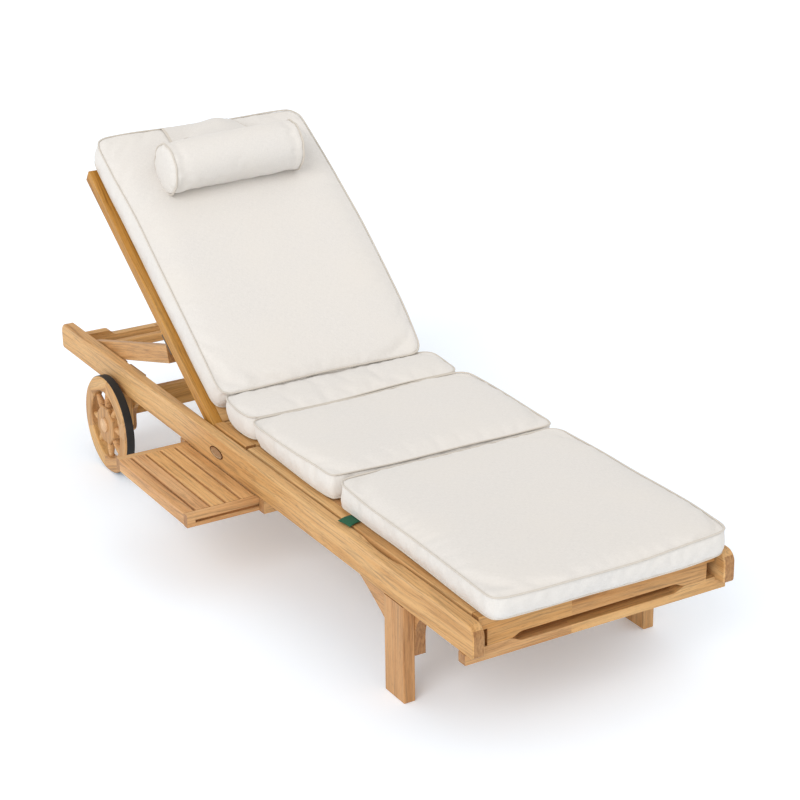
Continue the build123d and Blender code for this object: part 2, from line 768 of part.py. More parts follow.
# Butt hinges: leaves and knuckles, the pin fixed in the knee section's half
knuckle = hinge_length / knuckle_count
plate_top = slat_low - joint_gap
plate_base = plate_top - hinge_plate
for name, way, turns in (("hinge_knee_half", 1, (-1, 1)), ("hinge_foot_half", -1, (0,))):
    with BuildPart() as half:
        for place in [share * stile_inner for share in hinge_place_shares]:
            with BuildSketch(Plane.XY.offset(plate_base)):
                with Locations((place, hinge_y + way * (hinge_plate_start + hinge_leaf) / 2)):
                    Rectangle(hinge_length, hinge_leaf - hinge_plate_start)
                for turn in turns:
                    with Locations((place + turn * knuckle, hinge_y + way * hinge_plate_start / 2)):
                        Rectangle(knuckle - 2 * knuckle_gap, hinge_plate_start)
            extrude(amount=hinge_plate)
            for turn in turns:
                with BuildSketch(Plane.YZ.offset(place + turn * knuckle - knuckle / 2 + knuckle_gap)):
                    with Locations((hinge_y, hinge_z)):
                        Circle(hinge_barrel)
                extrude(amount=knuckle - 2 * knuckle_gap)
            with BuildSketch(Plane.YZ.offset(place - hinge_length / 2)):
                with Locations((hinge_y, hinge_z)):
                    Circle(hinge_pin if way > 0 else hinge_pin + running_clearance)
            extrude(amount=hinge_length, mode=Mode.ADD if way > 0 else Mode.SUBTRACT)
    keep(name, half.part)

# Prop under the knee section: arms with pins and a round bar; it stands on small racks beside the ledgers
knee_fall = knee_pivot_z - knee_hinge_z
knee_slope = knee_fall / knee_prop_reach
knee_bar_y = knee_hinge_y - knee_prop_reach
knee_bar_z = knee_hinge_z - knee_fall
knee_arm_length = hypot(knee_prop_reach, knee_fall)
knee_tilt = Axis((0, knee_hinge_y, knee_hinge_z), (1, 0, 0))
with BuildPart() as knee_prop:
    for way in (-1, 1):
        near = knee_arm_x - knee_arm_width / 2
        with BuildSketch(Plane.YZ.offset(way * near)):
            with Locations((knee_hinge_y - knee_arm_length / 2, knee_hinge_z)):
                SlotCenterToCenter(knee_arm_length, knee_arm_height)
            with Locations((knee_hinge_y - knee_arm_length, knee_hinge_z)):
                Circle(knee_bar_radius + fit_clearance, mode=Mode.SUBTRACT)
        extrude(amount=way * knee_arm_width)
        with BuildSketch(Plane.YZ.offset(way * cleat_inner)):
            with Locations((knee_hinge_y, knee_hinge_z)):
                Circle(knee_pin_radius)
        extrude(amount=way * (near - cleat_inner))
    with BuildSketch(Plane.YZ.offset(-knee_bar_half)):
        with Locations((knee_hinge_y - knee_arm_length, knee_hinge_z)):
            Circle(knee_bar_radius)
    extrude(amount=2 * knee_bar_half)
keep("knee_prop", knee_prop.part.rotate(knee_tilt, degrees(atan2(knee_fall, knee_prop_reach))))


def knee_bar_place(angle):
    """Where the knee prop's bar stands along the lounger for a raised angle of the knee section."""
    return knee_pivot_y - 2 * knee_prop_reach * cos(radians(angle))


def knee_rack_line(y):
    """Height of the knee rack's top at a place along the lounger."""
    drop = knee_bar_radius * sqrt(1 + knee_slope**2) + joint_gap
    return knee_bar_z + (y - knee_bar_y) * knee_slope - drop


with BuildPart() as ledger:
    ledger_y = (foot_back_y + joint_gap, ledger_head_y)
    add(plank((-rail_inner, -ledger_inner), ledger_y, (rail_underside, ledger_top)))
    with BuildSketch(Plane.YZ.offset(joint_gap - ledger_inner)):
        with BuildLine():
            Polyline(
                (knee_rack_foot_y, rail_underside),
                (knee_rack_head_y, rail_underside),
                (knee_rack_head_y, knee_rack_line(knee_rack_head_y)),
                (knee_rack_foot_y, knee_rack_line(knee_rack_foot_y)),
                close=True,
            )
        make_face()
        notch_places = [knee_bar_place(angle) for angle in knee_notch_angles]
        with Locations(*[(y, knee_rack_line(y)) for y in notch_places]):
            Circle(knee_notch_radius, mode=Mode.SUBTRACT)
    extrude(amount=knee_rack_width)
both_sides("ledger", ledger.part)

# Side tray, grooved along both ends, and the two runners whose tongues carry it
tray_low = tray_top - tray_thickness
tray_inner_x = tray_outer_x + tray_width
tray_head_y = tray_foot_y + tray_length
tongue_top = tongue_low + tongue_height
for name, face, way in (("tray_end_foot", tray_foot_y, 1), ("tray_end_head", tray_head_y, -1)):
    with BuildPart() as tray_end_board:
        add(
            plank(
                (tray_outer_x, tray_inner_x),
                (min(face, face + way * tray_end), max(face, face + way * tray_end)),
                (tray_low, tray_top),
            )
        )
        with BuildSketch(Plane.XZ.offset(-face)):
            groove_start = tray_outer_x + groove_blind
            with Locations(
                ((groove_start + tray_inner_x + overrun) / 2, (tongue_low + tongue_top) / 2)
            ):
                Rectangle(
                    tray_inner_x + overrun - groove_start, tongue_height + 2 * groove_clearance
                )
        extrude(amount=-way * (tongue_depth + runner_gap), mode=Mode.SUBTRACT)
    keep(name, tray_end_board.part)
tray_run = (tray_foot_y + tray_end, tray_head_y - tray_end)
tray_field = (tray_outer_x + tray_outer_stile, tray_inner_x - tray_outer_stile)
tray_slat = (tray_field[1] - tray_field[0] - tray_slat_gap * (tray_slat_count + 1)) / tray_slat_count
with BuildPart() as tray_boards:
    add(plank((tray_outer_x, tray_field[0]), tray_run, (tray_low, tray_top)))
    add(plank((tray_field[1], tray_inner_x), tray_run, (tray_low, tray_top)))
    for i in range(tray_slat_count):
        start = tray_field[0] + tray_slat_gap + i * (tray_slat + tray_slat_gap)
        add(plank((start, start + tray_slat), tray_run, (tray_top - tray_slat_thickness, tray_top)))
keep("tray_boards", tray_boards.part)
for name, face, way in (
    ("tray_runner_foot", tray_foot_y - runner_gap, -1),
    ("tray_runner_head", tray_head_y + runner_gap, 1),
):
    with BuildPart() as runner:
        add(
            plank(
                (-leg_outer, leg_outer),
                (min(face, face + way * runner_width), max(face, face + way * runner_width)),
                (runner_low, rail_underside),
            )
        )
        with BuildSketch(Plane.XY.offset(tongue_low)):
            with Locations(((rail_inner - leg_outer + tongue_start) / 2, face - way * tongue_depth / 2)):
                Rectangle(rail_inner + leg_outer - tongue_start, tongue_depth)
        extrude(amount=tongue_height)
    keep(name, runner.part)


# Cushions: piped edges stand out, the sides between them are drawn in, the top is crowned
def cushion(span, foot_lean=0, head_lean=0, thickness=cushion_thickness, skew=0, trim=0):
    """A stuffed cushion on the level deck: its ends lean in, its top sits aside, its right edge is trimmed."""
    softness = min(cushion_thickness, (span[1] - span[0]) * cushion_slim_share)
    with BuildPart() as body:
        for i in range(len(cushion_height_shares)):
            share = cushion_height_shares[i]
            inset = cushion_inset_shares[i] * softness
            low = span[0] + inset + foot_lean * share
            high = span[1] - inset - head_lean * share
            height = deck_top + joint_gap + share * thickness
            radius = cushion_corner if inset < cushion_corner / 2 else cushion_corner_crown
            with BuildSketch(Plane.XY.offset(height)):
                with Locations((cushion_shift + skew * share - trim / 2, (low + high) / 2)):
                    RectangleRounded(2 * (cushion_half_width - inset) - trim, high - low, radius)
        loft(ruled=True)
    return body.part


keep("hip_cushion", cushion(hip_cushion_span, foot_lean=seam_lean))
keep("knee_cushion", cushion(knee_cushion_span, head_lean=-seam_lean))
foot_span = (foot_face_y - foot_cushion_overhang, foot_cushion_head_y)
rail_trim = cushion_shift + cushion_half_width - (rail_inner - joint_gap)
keep("foot_cushion", cushion(foot_span, trim=rail_trim))
back_span = (back_pivot_y + back_cushion_start, back_top_y + back_cushion_overhang)
back_form = cushion(back_span, thickness=back_cushion_thickness, skew=back_cushion_skew)
keep("back_cushion", back_form.rotate(back_axis, back_rest_angle))

# Headrest roll, flattened where it lies on the back cushion, and its flap over the cushion's head end
roll_y = back_top_y - bolster_below_top
roll_z = deck_top + bolster_bed
crown_z = deck_top + 2 * joint_gap + cushion_height_shares[-1] * back_cushion_thickness
with BuildPart() as roll:
    with BuildSketch(Plane.XY.offset(roll_z)):
        with BuildLine():
            end = bolster_half_length - bolster_crown
            side = bolster_radius - bolster_edge
            Polyline(
                (bolster_shift - bolster_half_length, roll_y),
                (bolster_shift - bolster_half_length, roll_y + side / 2),
                (bolster_shift - end, roll_y + side),
            )
            Line((bolster_shift - end, roll_y + side), (bolster_shift - end + bolster_edge, roll_y + bolster_radius))
            Line(
                (bolster_shift - end + bolster_edge, roll_y + bolster_radius),
                (bolster_shift + end - bolster_edge, roll_y + bolster_radius),
            )
            Line((bolster_shift + end - bolster_edge, roll_y + bolster_radius), (bolster_shift + end, roll_y + side))
            Polyline(
                (bolster_shift + end, roll_y + side),
                (bolster_shift + bolster_half_length, roll_y + side / 2),
                (bolster_shift + bolster_half_length, roll_y),
            )
            Line((bolster_shift + bolster_half_length, roll_y), (bolster_shift - bolster_half_length, roll_y))
        make_face()
    revolve(axis=Axis((0, roll_y, roll_z), (1, 0, 0)))
    with BuildSketch(Plane.XY.offset(crown_z)):
        with Locations((bolster_shift, roll_y)):
            Rectangle(2 * (bolster_half_length + overrun), 2 * (bolster_radius + overrun))
    extrude(amount=-bolster_radius, mode=Mode.SUBTRACT)
keep("headrest_roll", roll.part.rotate(back_axis, back_rest_angle))


def strip(points, thickness):
    """The outline of a sheet of even thickness whose inner face follows a line of points."""
    outer = []
    for i in range(len(points)):
        before = points[max(i - 1, 0)]
        after = points[min(i + 1, len(points) - 1)]
        here = points[i]
        normals = []
        for start, end in ((before, here), (here, after)):
            run = hypot(end[0] - start[0], end[1] - start[1])
            if run > 0:
                normals.append(((start[1] - end[1]) / run, (end[0] - start[0]) / run))
        first, last = normals[0], normals[-1]
        scale = thickness / (1 + first[0] * last[0] + first[1] * last[1])
        outer.append((here[0] + scale * (first[0] + last[0]), here[1] + scale * (first[1] + last[1])))
    return list(points) + outer[::-1]


edge_y = back_span[1]
edge_z = deck_top + joint_gap + back_cushion_thickness
corner_y = edge_y - cushion_inset_shares[0] * cushion_thickness + joint_gap
seam_angle = radians(flap_start_angle)
seam_reach = bolster_radius + joint_gap
flap_line = [
    (roll_y + seam_reach * cos(seam_angle), roll_z + seam_reach * sin(seam_angle)),
    (corner_y, edge_z + 2 * joint_gap),
    (edge_y + joint_gap, edge_z - back_cushion_thickness * (1 - cushion_height_shares[-4])),
    (edge_y + joint_gap, edge_z - flap_hang),
]
with BuildPart() as flap:
    with BuildSketch(Plane.YZ.offset(flap_shift - flap_half_width)):
        with BuildLine():
            Polyline(*strip(flap_line[::-1], -flap_thickness), close=True)
        make_face()
    extrude(amount=2 * flap_half_width)
keep("headrest_flap", flap.part.rotate(back_axis, back_rest_angle))

# Stand everything on the floor with the whole set centred over the origin, then write the files
boxes = [part.bounding_box() for part in pieces.values()]
shift = (
    -(min(box.min.X for box in boxes) + max(box.max.X for box in boxes)) / 2,
    -(min(box.min.Y for box in boxes) + max(box.max.Y for box in boxes)) / 2,
    -min(box.min.Z for box in boxes),
)
os.makedirs("parts", exist_ok=True)
for name, part in pieces.items():
    placed = part.moved(Location(shift))
    placed.label = name
    export_step(placed, "parts/" + name + ".step")
print("shift", [round(value, 3) for value in shift])
print("prop hinge", round(hinge_y0 + shift[1], 3), round(hinge_z0 + shift[2], 3))
print("pieces", len(pieces))
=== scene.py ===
"""Looks of a teak chaise longue: oiled teak, cream cushions with piping, a headrest roll, pale floor."""
import math
import bpy
import numpy as np
from mathutils import Matrix, Vector, noise


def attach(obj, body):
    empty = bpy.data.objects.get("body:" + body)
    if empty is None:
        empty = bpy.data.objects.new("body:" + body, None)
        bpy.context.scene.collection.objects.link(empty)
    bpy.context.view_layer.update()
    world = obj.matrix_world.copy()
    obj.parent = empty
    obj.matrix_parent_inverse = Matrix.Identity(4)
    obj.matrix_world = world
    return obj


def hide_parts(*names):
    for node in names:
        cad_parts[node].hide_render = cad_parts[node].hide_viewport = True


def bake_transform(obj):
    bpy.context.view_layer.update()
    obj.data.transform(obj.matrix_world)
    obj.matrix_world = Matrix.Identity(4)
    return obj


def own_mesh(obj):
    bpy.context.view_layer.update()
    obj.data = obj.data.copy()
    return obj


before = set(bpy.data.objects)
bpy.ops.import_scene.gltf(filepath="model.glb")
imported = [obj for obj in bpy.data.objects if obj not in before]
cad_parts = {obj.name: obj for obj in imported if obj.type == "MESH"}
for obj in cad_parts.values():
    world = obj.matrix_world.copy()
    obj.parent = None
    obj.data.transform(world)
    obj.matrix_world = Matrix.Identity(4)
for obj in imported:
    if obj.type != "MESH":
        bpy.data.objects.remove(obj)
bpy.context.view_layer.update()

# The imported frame's coordinates are the drawing's own plus this shift
SX, SY = 0.0672, 0.0065
# Line that the back turns about, and the angle it stands at when at rest
PIVOT = Vector((SX, 0.1736 + SY, 0.2745))
TILT = math.radians(34.35)
BACK = Matrix.Translation(PIVOT) @ Matrix.Rotation(TILT, 4, "X") @ Matrix.Translation(-PIVOT)
LEVEL = Matrix.Identity(4)
# Pin of the prop arms, and how far the arms lean
PROP_PIN = Vector((SX, 0.4215 + SY, 0.3761))
ARM_LEAN = math.radians(15.97)
# Wheel centres, seen from the side
WHEEL = (0.658 + SY, 0.1248)
# Brackets lie nearer to the middle plane than this, legs further out
LEG_INNER = 0.2849
# The axle's wooden plugs lie further out than this
PLUG_INNER = 0.3465
# Height of the deck under the seat cushions
DECK = 0.2903


def linear(rgb):
    """Linear colour from 0-255 screen values."""
    out = []
    for c in rgb:
        c /= 255.0
        out.append(c / 12.92 if c <= 0.04045 else ((c + 0.055) / 1.055) ** 2.4)
    return (*out, 1.0)


def darker(color, share):
    """A linear colour at a share of its brightness."""
    return tuple(c * share for c in color[:3]) + (1.0,)


class Nodes:
    """A small helper to lay out a material's nodes."""

    def __init__(self, name):
        self.mat = bpy.data.materials.new(name)
        self.mat.use_nodes = True
        self.tree = self.mat.node_tree
        self.bsdf = self.tree.nodes["Principled BSDF"]

    def feed(self, socket, value):
        """Sets a socket to a constant, or links it to another node's output."""
        if isinstance(value, (int, float, tuple, Vector)):
            socket.default_value = value
        else:
            self.tree.links.new(value, socket)

    def add(self, kind, links=(), **values):
        """A node; values named in_... are its inputs, the others its own settings."""
        node = self.tree.nodes.new(kind)
        for key, value in values.items():
            if key.startswith("in_"):
                node.inputs[key[3:]].default_value = value
            else:
                setattr(node, key, value)
        for socket, source in links:
            self.tree.links.new(source, node.inputs[socket])
        return node

    def operate(self, kind, op, sources):
        node = self.tree.nodes.new(kind)
        node.operation = op
        for i, value in enumerate(sources):
            self.feed(node.inputs[i], value)
        return node.outputs[0]

    def math(self, op, *sources):
        return self.operate("ShaderNodeMath", op, sources)

    def vmath(self, op, *sources):
        return self.operate("ShaderNodeVectorMath", op, sources)

    def mix(self, fac, a, b, blend="MIX"):
        node = self.tree.nodes.new("ShaderNodeMix")
        node.data_type = "RGBA"
        node.blend_type = blend
        for name, value in (("Factor", fac), ("A", a), ("B", b)):
            fits = [i for i in node.inputs if i.name == name and (name == "Factor" or i.type == "RGBA")]
            self.feed(fits[0], value)
        return [o for o in node.outputs if o.type == "RGBA"][0]

    def ramp(self, source, *stops):
        """A colour ramp; each stop is a place with a colour or a grey."""
        node = self.tree.nodes.new("ShaderNodeValToRGB")
        while len(node.color_ramp.elements) < len(stops):
            node.color_ramp.elements.new(0.5)
        for e, (place, value) in zip(node.color_ramp.elements, stops):
            e.position = place
            e.color = value if isinstance(value, tuple) else (value, value, value, 1)
        self.tree.links.new(source, node.inputs[0])
        return node.outputs[0]

    def noise(self, vector, detail, cells=None, scale=1.0, **more):
        """Noise; cells gives its cells per metre along each axis."""
        if cells is not None:
            vector = self.vmath("MULTIPLY", vector, cells)
        return self.add("ShaderNodeTexNoise", [("Vector", vector)], in_Scale=scale, in_Detail=detail, **more)

    def place(self):
        """A point's place on its object."""
        return self.add("ShaderNodeTexCoord").outputs["Object"]

    def split(self, vector):
        return self.add("ShaderNodeSeparateXYZ", [("Vector", vector)]).outputs

    def combine(self, x, y, z):
        return self.add("ShaderNodeCombineXYZ", [("X", x), ("Y", y), ("Z", z)]).outputs[0]

    def surface(self, **sockets):
        """The shader's own sockets; an underscore stands for a space."""
        for name, value in sockets.items():
            self.feed(self.bsdf.inputs[name.replace("_", " ")], value)

    def bump(self, height, strength, distance):
        node = self.add("ShaderNodeBump", [("Height", height)], in_Strength=strength, in_Distance=distance)
        self.surface(Normal=node.outputs[0])


# Teak
LIGHT = linear((204, 165, 119))
MID = linear((193, 149, 102))
DARK = linear((160, 114, 70))
DEEP = linear((116, 72, 38))
# An object's axes with the grain's own first
GRAIN_FIRST = {"x": (0, 1, 2), "y": (1, 0, 2), "z": (2, 0, 1)}
# Faces that look along the grain more than this are end grain
END_GRAIN = 0.8
# A rim is sawn from this many segments, the first joint lying this far before angle zero
SEGMENTS = 6
FIRST_JOINT = math.pi + 0.35
# Noise cells per metre, along and twice across the grain
SWAY = (1.6, 9.0, 9.0)
FIGURE = (1.3, 34.0, 34.0)
STREAKS = (4.5, 260.0, 260.0)
PORES = (60.0, 1100.0, 1100.0)
END_RINGS = (300.0, 300.0, 90.0)
# How far the streaks sway across the grain, and how far one board's grain may lie from the next one's
SWAY_REACH = (0.0, 0.05, 0.05)
BOARD_JUMP = 9.0


def laid_level(n, vec, nor, tilt):
    """Places and normals of a leaning piece as if it lay level."""
    angle, pivot = tilt
    turn = (-angle, 0, 0)
    shift = tuple(-(Matrix.Rotation(-angle, 3, "X") @ pivot))
    vec = n.add("ShaderNodeMapping", [("Vector", vec)], in_Rotation=turn, in_Location=shift)
    nor = n.add("ShaderNodeMapping", [("Vector", nor)], in_Rotation=turn, vector_type="NORMAL")
    return vec.outputs[0], nor.outputs[0]


def ring_grain(n, parts, centre):
    """A rim segment's number and the places in it, with the grain along its chord."""
    dy = n.math("SUBTRACT", parts[1], centre[0])
    dz = n.math("SUBTRACT", parts[2], centre[1])
    angle = n.math("ARCTAN2", dz, dy)
    reach = n.math("SQRT", n.math("ADD", n.math("MULTIPLY", dy, dy), n.math("MULTIPLY", dz, dz)))
    turns = n.math("MULTIPLY", n.math("ADD", angle, FIRST_JOINT), SEGMENTS / (2 * math.pi))
    segment = n.math("FLOOR", turns)
    middle = n.math("MULTIPLY", n.math("ADD", segment, 0.5), 2 * math.pi / SEGMENTS)
    off = n.math("SUBTRACT", angle, n.math("SUBTRACT", middle, FIRST_JOINT))
    along = n.math("MULTIPLY", n.math("SINE", off), reach)
    across = n.math("MULTIPLY", n.math("COSINE", off), reach)
    return segment, n.combine(along, across, parts[0])


def straight_grain(n, parts, facing, grain):
    """Places with the grain's axis first, and 1 where a face is end grain."""
    a, b, c = GRAIN_FIRST[grain]
    end = n.math("GREATER_THAN", n.math("ABSOLUTE", facing[a]), END_GRAIN)
    return n.combine(parts[a], parts[b], parts[c]), end


def lay_grain(n, grain, start=0.0, pitch=0.0, across=1, ring=None, tilt=None, split=None):
    """Places with the grain's axis first, the board's number, and 1 on end grain, or None round a rim.

    Each pitch along the axis across starts a fresh board. ring is the centre of a rim, tilt the angle and
    pivot of a leaning piece, and split the grain of the parts that lie nearer to the middle plane than a
    limit.
    """
    coords = n.add("ShaderNodeTexCoord")
    vec, nor = coords.outputs["Object"], coords.outputs["Normal"]
    if tilt is not None:
        vec, nor = laid_level(n, vec, nor, tilt)
    parts = n.split(vec)
    if ring is not None:
        board, vec = ring_grain(n, parts, ring)
        return vec, board, None
    facing = n.split(nor)
    vec, end = straight_grain(n, parts, facing, grain)
    if split is not None:
        other, limit = split
        inner_vec, inner_end = straight_grain(n, parts, facing, other)
        inner = n.math("LESS_THAN", n.math("ABSOLUTE", n.math("SUBTRACT", parts[0], SX)), limit)
        vec = n.mix(inner, vec, inner_vec)
        outer_end = n.math("MULTIPLY", end, n.math("SUBTRACT", 1.0, inner))
        end = n.math("ADD", outer_end, n.math("MULTIPLY", inner_end, inner))
    if pitch:
        board = n.math("FLOOR", n.math("DIVIDE", n.math("SUBTRACT", parts[across], start), pitch))
    else:
        # without a pitch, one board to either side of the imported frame's own middle
        board = n.math("FLOOR", n.math("MULTIPLY", parts[0], 0.001))
    return vec, board, end


def teak(name, grain, tone=0.0, rich=0.0, **layout):
    """Oiled teak; tone and rich add to its brightness and saturation. On several pieces they paint light: a
    lower tone is painted shade, a higher one painted light, and added richness painted warm bounce light
    between boards.
    """
    n = Nodes(name)
    vec, board, end = lay_grain(n, grain, **layout)
    seed = sum(ord(ch) for ch in name) * 0.37
    rand = n.add("ShaderNodeTexWhiteNoise", [("W", n.math("ADD", board, seed))], noise_dimensions="1D")
    jump = n.vmath("SCALE", rand.outputs["Color"])
    jump.node.inputs["Scale"].default_value = BOARD_JUMP
    vec = n.vmath("ADD", vec, jump)
    sway = n.noise(vec, 3.0, SWAY).outputs["Color"]
    bent = n.vmath("ADD", vec, n.vmath("MULTIPLY", sway, SWAY_REACH))
    figure = n.noise(bent, 5.0, FIGURE, in_Roughness=0.62).outputs["Fac"]
    streaks = n.noise(bent, 4.0, STREAKS, in_Roughness=0.6).outputs["Fac"]
    pores = n.noise(vec, 2.0, PORES).outputs["Fac"]
    color = n.ramp(figure, (0.3, DARK), (0.46, MID), (0.66, LIGHT))
    color = n.mix(0.72, color, n.ramp(streaks, (0.34, 0.5), (0.52, 1.0)), "MULTIPLY")
    color = n.mix(0.55, color, n.ramp(pores, (0.3, 0.45), (0.42, 1.0)), "MULTIPLY")
    hue = n.add("ShaderNodeHueSaturation", [("Color", color)], in_Saturation=1.06 + rich)
    n.feed(hue.inputs["Hue"], n.math("MULTIPLY_ADD", rand.outputs["Value"], 0.012, 0.494))
    n.feed(hue.inputs["Value"], n.math("MULTIPLY_ADD", rand.outputs["Value"], 0.26, 0.95 + tone))
    color = hue.outputs[0]
    if end is not None:
        cut = n.ramp(n.noise(vec, 3.0, END_RINGS).outputs["Fac"], (0.35, DEEP), (0.65, DARK))
        color = n.mix(n.math("MULTIPLY", end, 0.7), color, cut)
    rough = n.math("MULTIPLY_ADD", streaks, 0.25, 0.42)
    n.surface(Base_Color=color, Roughness=rough, Specular_IOR_Level=0.35)
    height = n.math("ADD", n.math("MULTIPLY", streaks, 0.6), n.math("MULTIPLY", pores, 0.4))
    n.bump(height, 0.35, 0.0008)
    return n.mat


# Metres that two threads of the cloth take up side by side
THREAD_STEP = 0.0011
# Noise cells per metre of the threads' unevenness, long one way and short the other
WARP_SLUBS = (90.0, 900.0, 1.0)
WEFT_SLUBS = (900.0, 90.0, 1.0)


def cloth_material(name, tint, depth=1.0):
    """Cream woven outdoor cloth; its threads follow the piece's UV map, laid out in metres."""
    n = Nodes(name)
    uv = n.add("ShaderNodeUVMap").outputs[0]
    parts = n.split(uv)
    warp, weft = (n.math("SINE", n.math("MULTIPLY", parts[i], 2 * math.pi / THREAD_STEP)) for i in (0, 1))
    weave = n.math("MULTIPLY_ADD", n.math("MULTIPLY", warp, weft), 0.5, 0.5)
    slubs = [n.noise(uv, 2.0, cells).outputs["Fac"] for cells in (WARP_SLUBS, WEFT_SLUBS)]
    threads = n.math("MULTIPLY", n.math("ADD", *slubs), 0.5)
    cloud = n.noise(n.place(), 3.0, scale=7.0).outputs["Fac"]
    base = linear(tint)
    warm = (base[0], base[1] * 0.985, base[2] * 0.955, 1.0)
    color = n.mix(n.ramp(threads, (0.35, 1.0), (0.6, 0.0)), base, darker(base, 0.9))
    color = n.mix(n.math("MULTIPLY", n.ramp(cloud, (0.35, 0.0), (0.75, 1.0)), 0.5), color, warm)
    n.surface(Base_Color=color, Roughness=0.92, Specular_IOR_Level=0.2)
    n.surface(Sheen_Weight=0.25, Sheen_Roughness=0.5)
    height = n.math("ADD", n.math("MULTIPLY", weave, 0.6), n.math("MULTIPLY", threads, 0.6))
    n.bump(height, 0.3 * depth, 0.0006)
    return n.mat


def metal(name, tint, rough):
    """Metal with a faint brushed sheen."""
    n = Nodes(name)
    brushed = n.noise(n.place(), 3.0, (900.0, 120.0, 900.0)).outputs["Fac"]
    base = linear(tint)
    color = n.mix(n.ramp(brushed, (0.3, 0.0), (0.7, 1.0)), darker(base, 0.62), base)
    n.surface(Base_Color=color, Metallic=1.0, Roughness=n.math("MULTIPLY_ADD", brushed, 0.2, rough))
    return n.mat


def rubber(name):
    """Matt black rubber, a little dusty, with a fine moulded grain."""
    n = Nodes(name)
    dust = n.noise(n.place(), 4.0, scale=28.0).outputs["Fac"]
    grit = n.noise(n.place(), 2.0, scale=900.0).outputs["Fac"]
    color = n.mix(n.ramp(dust, (0.45, 0.0), (0.8, 0.6)), linear((18, 17, 17)), linear((46, 42, 39)))
    n.surface(Base_Color=color, Roughness=n.math("MULTIPLY_ADD", dust, 0.25, 0.5))
    n.bump(grit, 0.25, 0.0005)
    return n.mat


def plugged():
    """Brass, with pale wooden plugs on the two outer ends."""
    n = Nodes("axle_brass_plug")
    place = n.place()
    plug = n.math("GREATER_THAN", n.math("ABSOLUTE", n.math("SUBTRACT", n.split(place)[0], SX)), PLUG_INNER)
    grain = n.noise(place, 4.0, (200.0, 500.0, 60.0)).outputs["Fac"]
    wood = n.mix(n.ramp(grain, (0.35, 0.0), (0.65, 1.0)), linear((184, 138, 92)), linear((226, 188, 142)))
    shine = n.mix(n.ramp(grain, (0.3, 0.0), (0.7, 1.0)), linear((150, 118, 66)), linear((214, 172, 98)))
    n.surface(Base_Color=n.mix(plug, shine, wood), Metallic=n.math("SUBTRACT", 1.0, plug))
    n.surface(Roughness=n.math("MULTIPLY_ADD", plug, 0.25, 0.28))
    return n.mat


def dress(node, material):
    """Gives a CAD node its material."""
    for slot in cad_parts[node].material_slots:
        slot.material = material


TILTED = (TILT, PIVOT)
LEANING = (-ARM_LEAN, PROP_PIN)
for side in ("left", "right"):
    dress(f"rail_{side}", teak(f"teak_rail_{side}", "y"))
    # The ledger's lower tone is painted shade under the cushion's edge.
    dress(f"ledger_{side}", teak(f"teak_ledger_{side}", "y", tone=-0.08))
    dress(f"foot_leg_{side}", teak(f"teak_foot_leg_{side}", "z", split=("y", LEG_INNER)))
    dress(f"wheel_leg_{side}", teak(f"teak_wheel_leg_{side}", "z", split=("y", LEG_INNER)))
    # The rack's lower tone is painted shade, and its added richness painted warm bounce light.
    dress(f"back_rack_{side}", teak(f"teak_rack_{side}", "y", tone=-0.14, rich=0.15))
    # The hip stile's added richness is painted warm bounce light.
    dress(f"hip_stile_{side}", teak(f"teak_hip_{side}", "y", rich=0.08))
    dress(f"knee_stile_{side}", teak(f"teak_knee_{side}", "y"))
    dress(f"foot_stile_{side}", teak(f"teak_foot_{side}", "y"))
    # The back stile's lower tone is painted shade beside the back cushion, and its added richness painted
    # warm bounce light.
    dress(f"back_stile_{side}", teak(f"teak_back_{side}", "y", tilt=TILTED, tone=-0.17, rich=0.18))
    dress(f"prop_arm_{side}", teak(f"teak_arm_{side}", "y", tilt=LEANING))
    dress(f"wheel_rim_{side}", teak(f"teak_rim_{side}", "x", ring=WHEEL, tone=-0.07))
    dress(f"wheel_hub_{side}", teak(f"teak_hub_{side}", "z", tone=-0.06))
    dress(f"wheel_spokes_{side}", teak(f"teak_spoke_{side}", "x", ring=WHEEL, tone=0.05))
    dress(f"wheel_tyre_{side}", rubber(f"rubber_{side}"))
    # The plates' dark brown is painted shade at the prop arms' ends, not the steel's own colour.
    dress(f"prop_plate_{side}", metal(f"shaded_steel_plate_{side}", (122, 104, 84), 0.45))

# Crosswise pieces of one board: node, material, tone and richness. A lower tone is painted shade, a higher
# one painted light, and added richness painted warm bounce light.
CROSSWISE = (
    ("foot_board", "teak_foot_board", 0.0, 0.0),
    ("foot_end_rail", "teak_foot_end_rail", 0.0, 0.08),
    ("head_board", "teak_head_board", 0.0, 0.0),
    ("foot_apron", "teak_apron", -0.06, 0.0),
    ("axle_beam", "teak_beam", -0.2, 0.1),
    ("prop_stretcher", "teak_stretcher", -0.08, 0.0),
    ("prop_bar", "teak_bar", 0.0, 0.0),
    ("knee_prop", "teak_knee_prop", 0.0, 0.0),
    ("tray_runner_foot", "teak_runner_foot", 0.0, 0.0),
    ("tray_runner_head", "teak_runner_head", 0.0, 0.0),
    ("tray_end_foot", "teak_tray_end_foot", 0.05, 0.0),
    ("tray_end_head", "teak_tray_end_head", 0.0, 0.0),
)
for node, name, tone, rich in CROSSWISE:
    dress(node, teak(name, "x", tone=tone, rich=rich))

# Slats change board halfway through the gaps between them
TRAY_PITCH = 0.0372
# Middle of the tray's first gap: its left side, the edge board's width and half the gap
TRAY_FIRST_GAP = -0.487 + 0.026 + 0.0027 + SX
HALF_GAP = 0.006
# The tray's higher tone is painted light falling from the left front.
dress(
    "tray_boards",
    teak("teak_tray", "y", start=TRAY_FIRST_GAP - TRAY_PITCH, pitch=TRAY_PITCH, across=0, tone=0.1),
)
